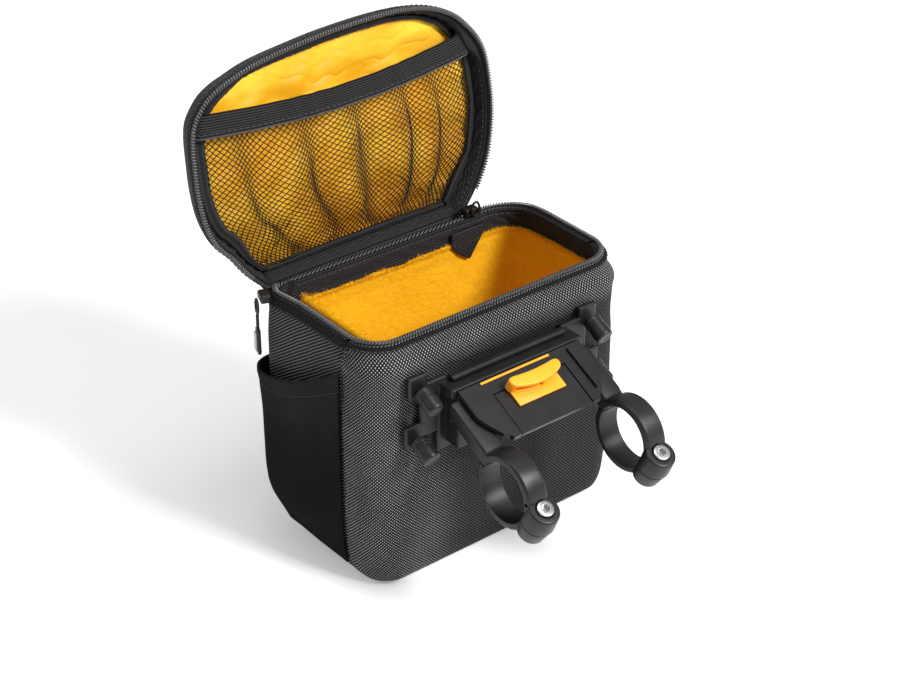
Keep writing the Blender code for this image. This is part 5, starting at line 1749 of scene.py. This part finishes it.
def make_stage():
    """Plain pale floor and soft studio light."""
    mesh = bpy.data.meshes.new("floor")
    half = 6.0
    corners = [(-half, -half, 0), (half, -half, 0), (half, half, 0), (-half, half, 0)]
    mesh.from_pydata(corners, [], [(0, 1, 2, 3)])
    floor = bpy.data.objects.new("floor", mesh)
    bpy.context.scene.collection.objects.link(floor)
    pale = Look("pale_floor", 0.75)
    soft = pale.noise(pale.place(), 4.0, 2.0)
    pale.put("Base Color", pale.mix(soft, (0.86, 0.858, 0.852), (0.90, 0.898, 0.892)))
    pale.put("Emission Color", (1.0, 1.0, 1.0, 1.0))
    pale.put("Emission Strength", 0.22)
    mesh.materials.append(pale.made)
    world = bpy.context.scene.world or bpy.data.worlds.new("studio")
    bpy.context.scene.world = world
    world.use_nodes = True
    back = world.node_tree.nodes["Background"]
    back.inputs[0].default_value = (0.97, 0.98, 1.0, 1.0)
    back.inputs[1].default_value = 0.42
    lamps = (
        # name, power, size, place, colour
        ("key", 40.0, 0.50, (0.50, -1.25, 1.25), (1.0, 0.985, 0.96)),
        ("rim", 5.0, 0.5, (-1.3, 0.6, 1.2), (0.96, 0.98, 1.0)),
        ("top", 9.0, 0.7, (0.15, -0.1, 1.7), (1.0, 1.0, 1.0)),
    )
    for name, power, wide, place, colour in lamps:
        lamp = bpy.data.lights.new(name, "AREA")
        lamp.energy = power
        lamp.size = wide
        lamp.color = colour
        made = bpy.data.objects.new(name, lamp)
        bpy.context.scene.collection.objects.link(made)
        made.location = place
        aim = Vector((0.0, 0.0, 0.12)) - Vector(place)
        made.rotation_euler = aim.to_track_quat("-Z", "Y").to_euler()


def make_tone():
    """Plain display tone, so that bright dyes keep their colour."""
    view = bpy.context.scene.view_settings
    view.view_transform = "Standard"
    view.look = "None"


def make_camera():
    """The photo's camera, as fitted to the bag's rim, deck, bolts and bar."""
    turn = math.radians(-39.08)
    rise = math.radians(31.30)
    roll = math.radians(0.26)
    forward = Vector((-math.sin(turn) * math.cos(rise), math.cos(turn) * math.cos(rise), -math.sin(rise)))
    right = Vector((math.cos(turn), math.sin(turn), 0.0))
    up = right.cross(forward)
    right_rolled = math.cos(roll) * right + math.sin(roll) * up
    up_rolled = -math.sin(roll) * right + math.cos(roll) * up
    data = bpy.data.cameras.new("photo_camera")
    data.lens = 86.72
    data.sensor_width = 36.0
    made = bpy.data.objects.new("photo_camera", data)
    bpy.context.scene.collection.objects.link(made)
    turned = Matrix((right_rolled, up_rolled, -forward)).transposed().to_4x4()
    made.matrix_world = Matrix.Translation((-0.6045, -0.7499, 0.6827)) @ turned
    bpy.context.scene.camera = made


make_shell()
make_seams()
lining_edge = make_lining()
inside = -outward_of(lining_edge)
fuzz_way = inside * 0.5 + np.array([0, 0, 0.85])
fibres("lining_fuzz", lining_edge + np.array([0, 0, -0.0003]), fuzz_way, 12000, 0.0012, 0.0007, 33)
make_divider()
make_rim_facing()
make_rim_band()
zip_coil("rim_zip_coil", "rim_coil", rim_run(RIM, WALL / 2, COIL + GAP), (0, 0, 1), (0, 0, -1))
make_pocket("knit_pocket_left", -1, "side_pocket_left")
make_pocket("knit_pocket_right", 1, "side_pocket_right")
make_lid_shell()
make_lid_lining()
make_lid_facing()
lid_coil_path = lid_loop(LID_WALL / 2, -COIL - GAP)[:LID_EDGE_COUNT][6:-8]
zip_coil("lid_zip_coil", "lid_coil", lid_coil_path, (0, 1, 0), (0, 1, 0), on_lid=True)
make_net()
make_elastic()
make_hinge()
make_gusset()
ring_piece("pull_ring_left", "zip_ring_left", 70)
ring_piece("pull_ring_right", "zip_ring_right", 0)
make_bracket()
for side_tag, side_sign in (("left", -1), ("right", 1)):
    make_cap(side_tag, side_sign)
    make_bolt(side_tag, side_sign)
    make_stud(side_tag, "upper", side_sign, 0.0550, LEDGE_TOP + 0.0025)
    make_stud(side_tag, "lower", side_sign, 0.0575, LEDGE_TOP - 0.0250)
make_tab()
dress_solids()
make_stage()
make_tone()
make_camera()
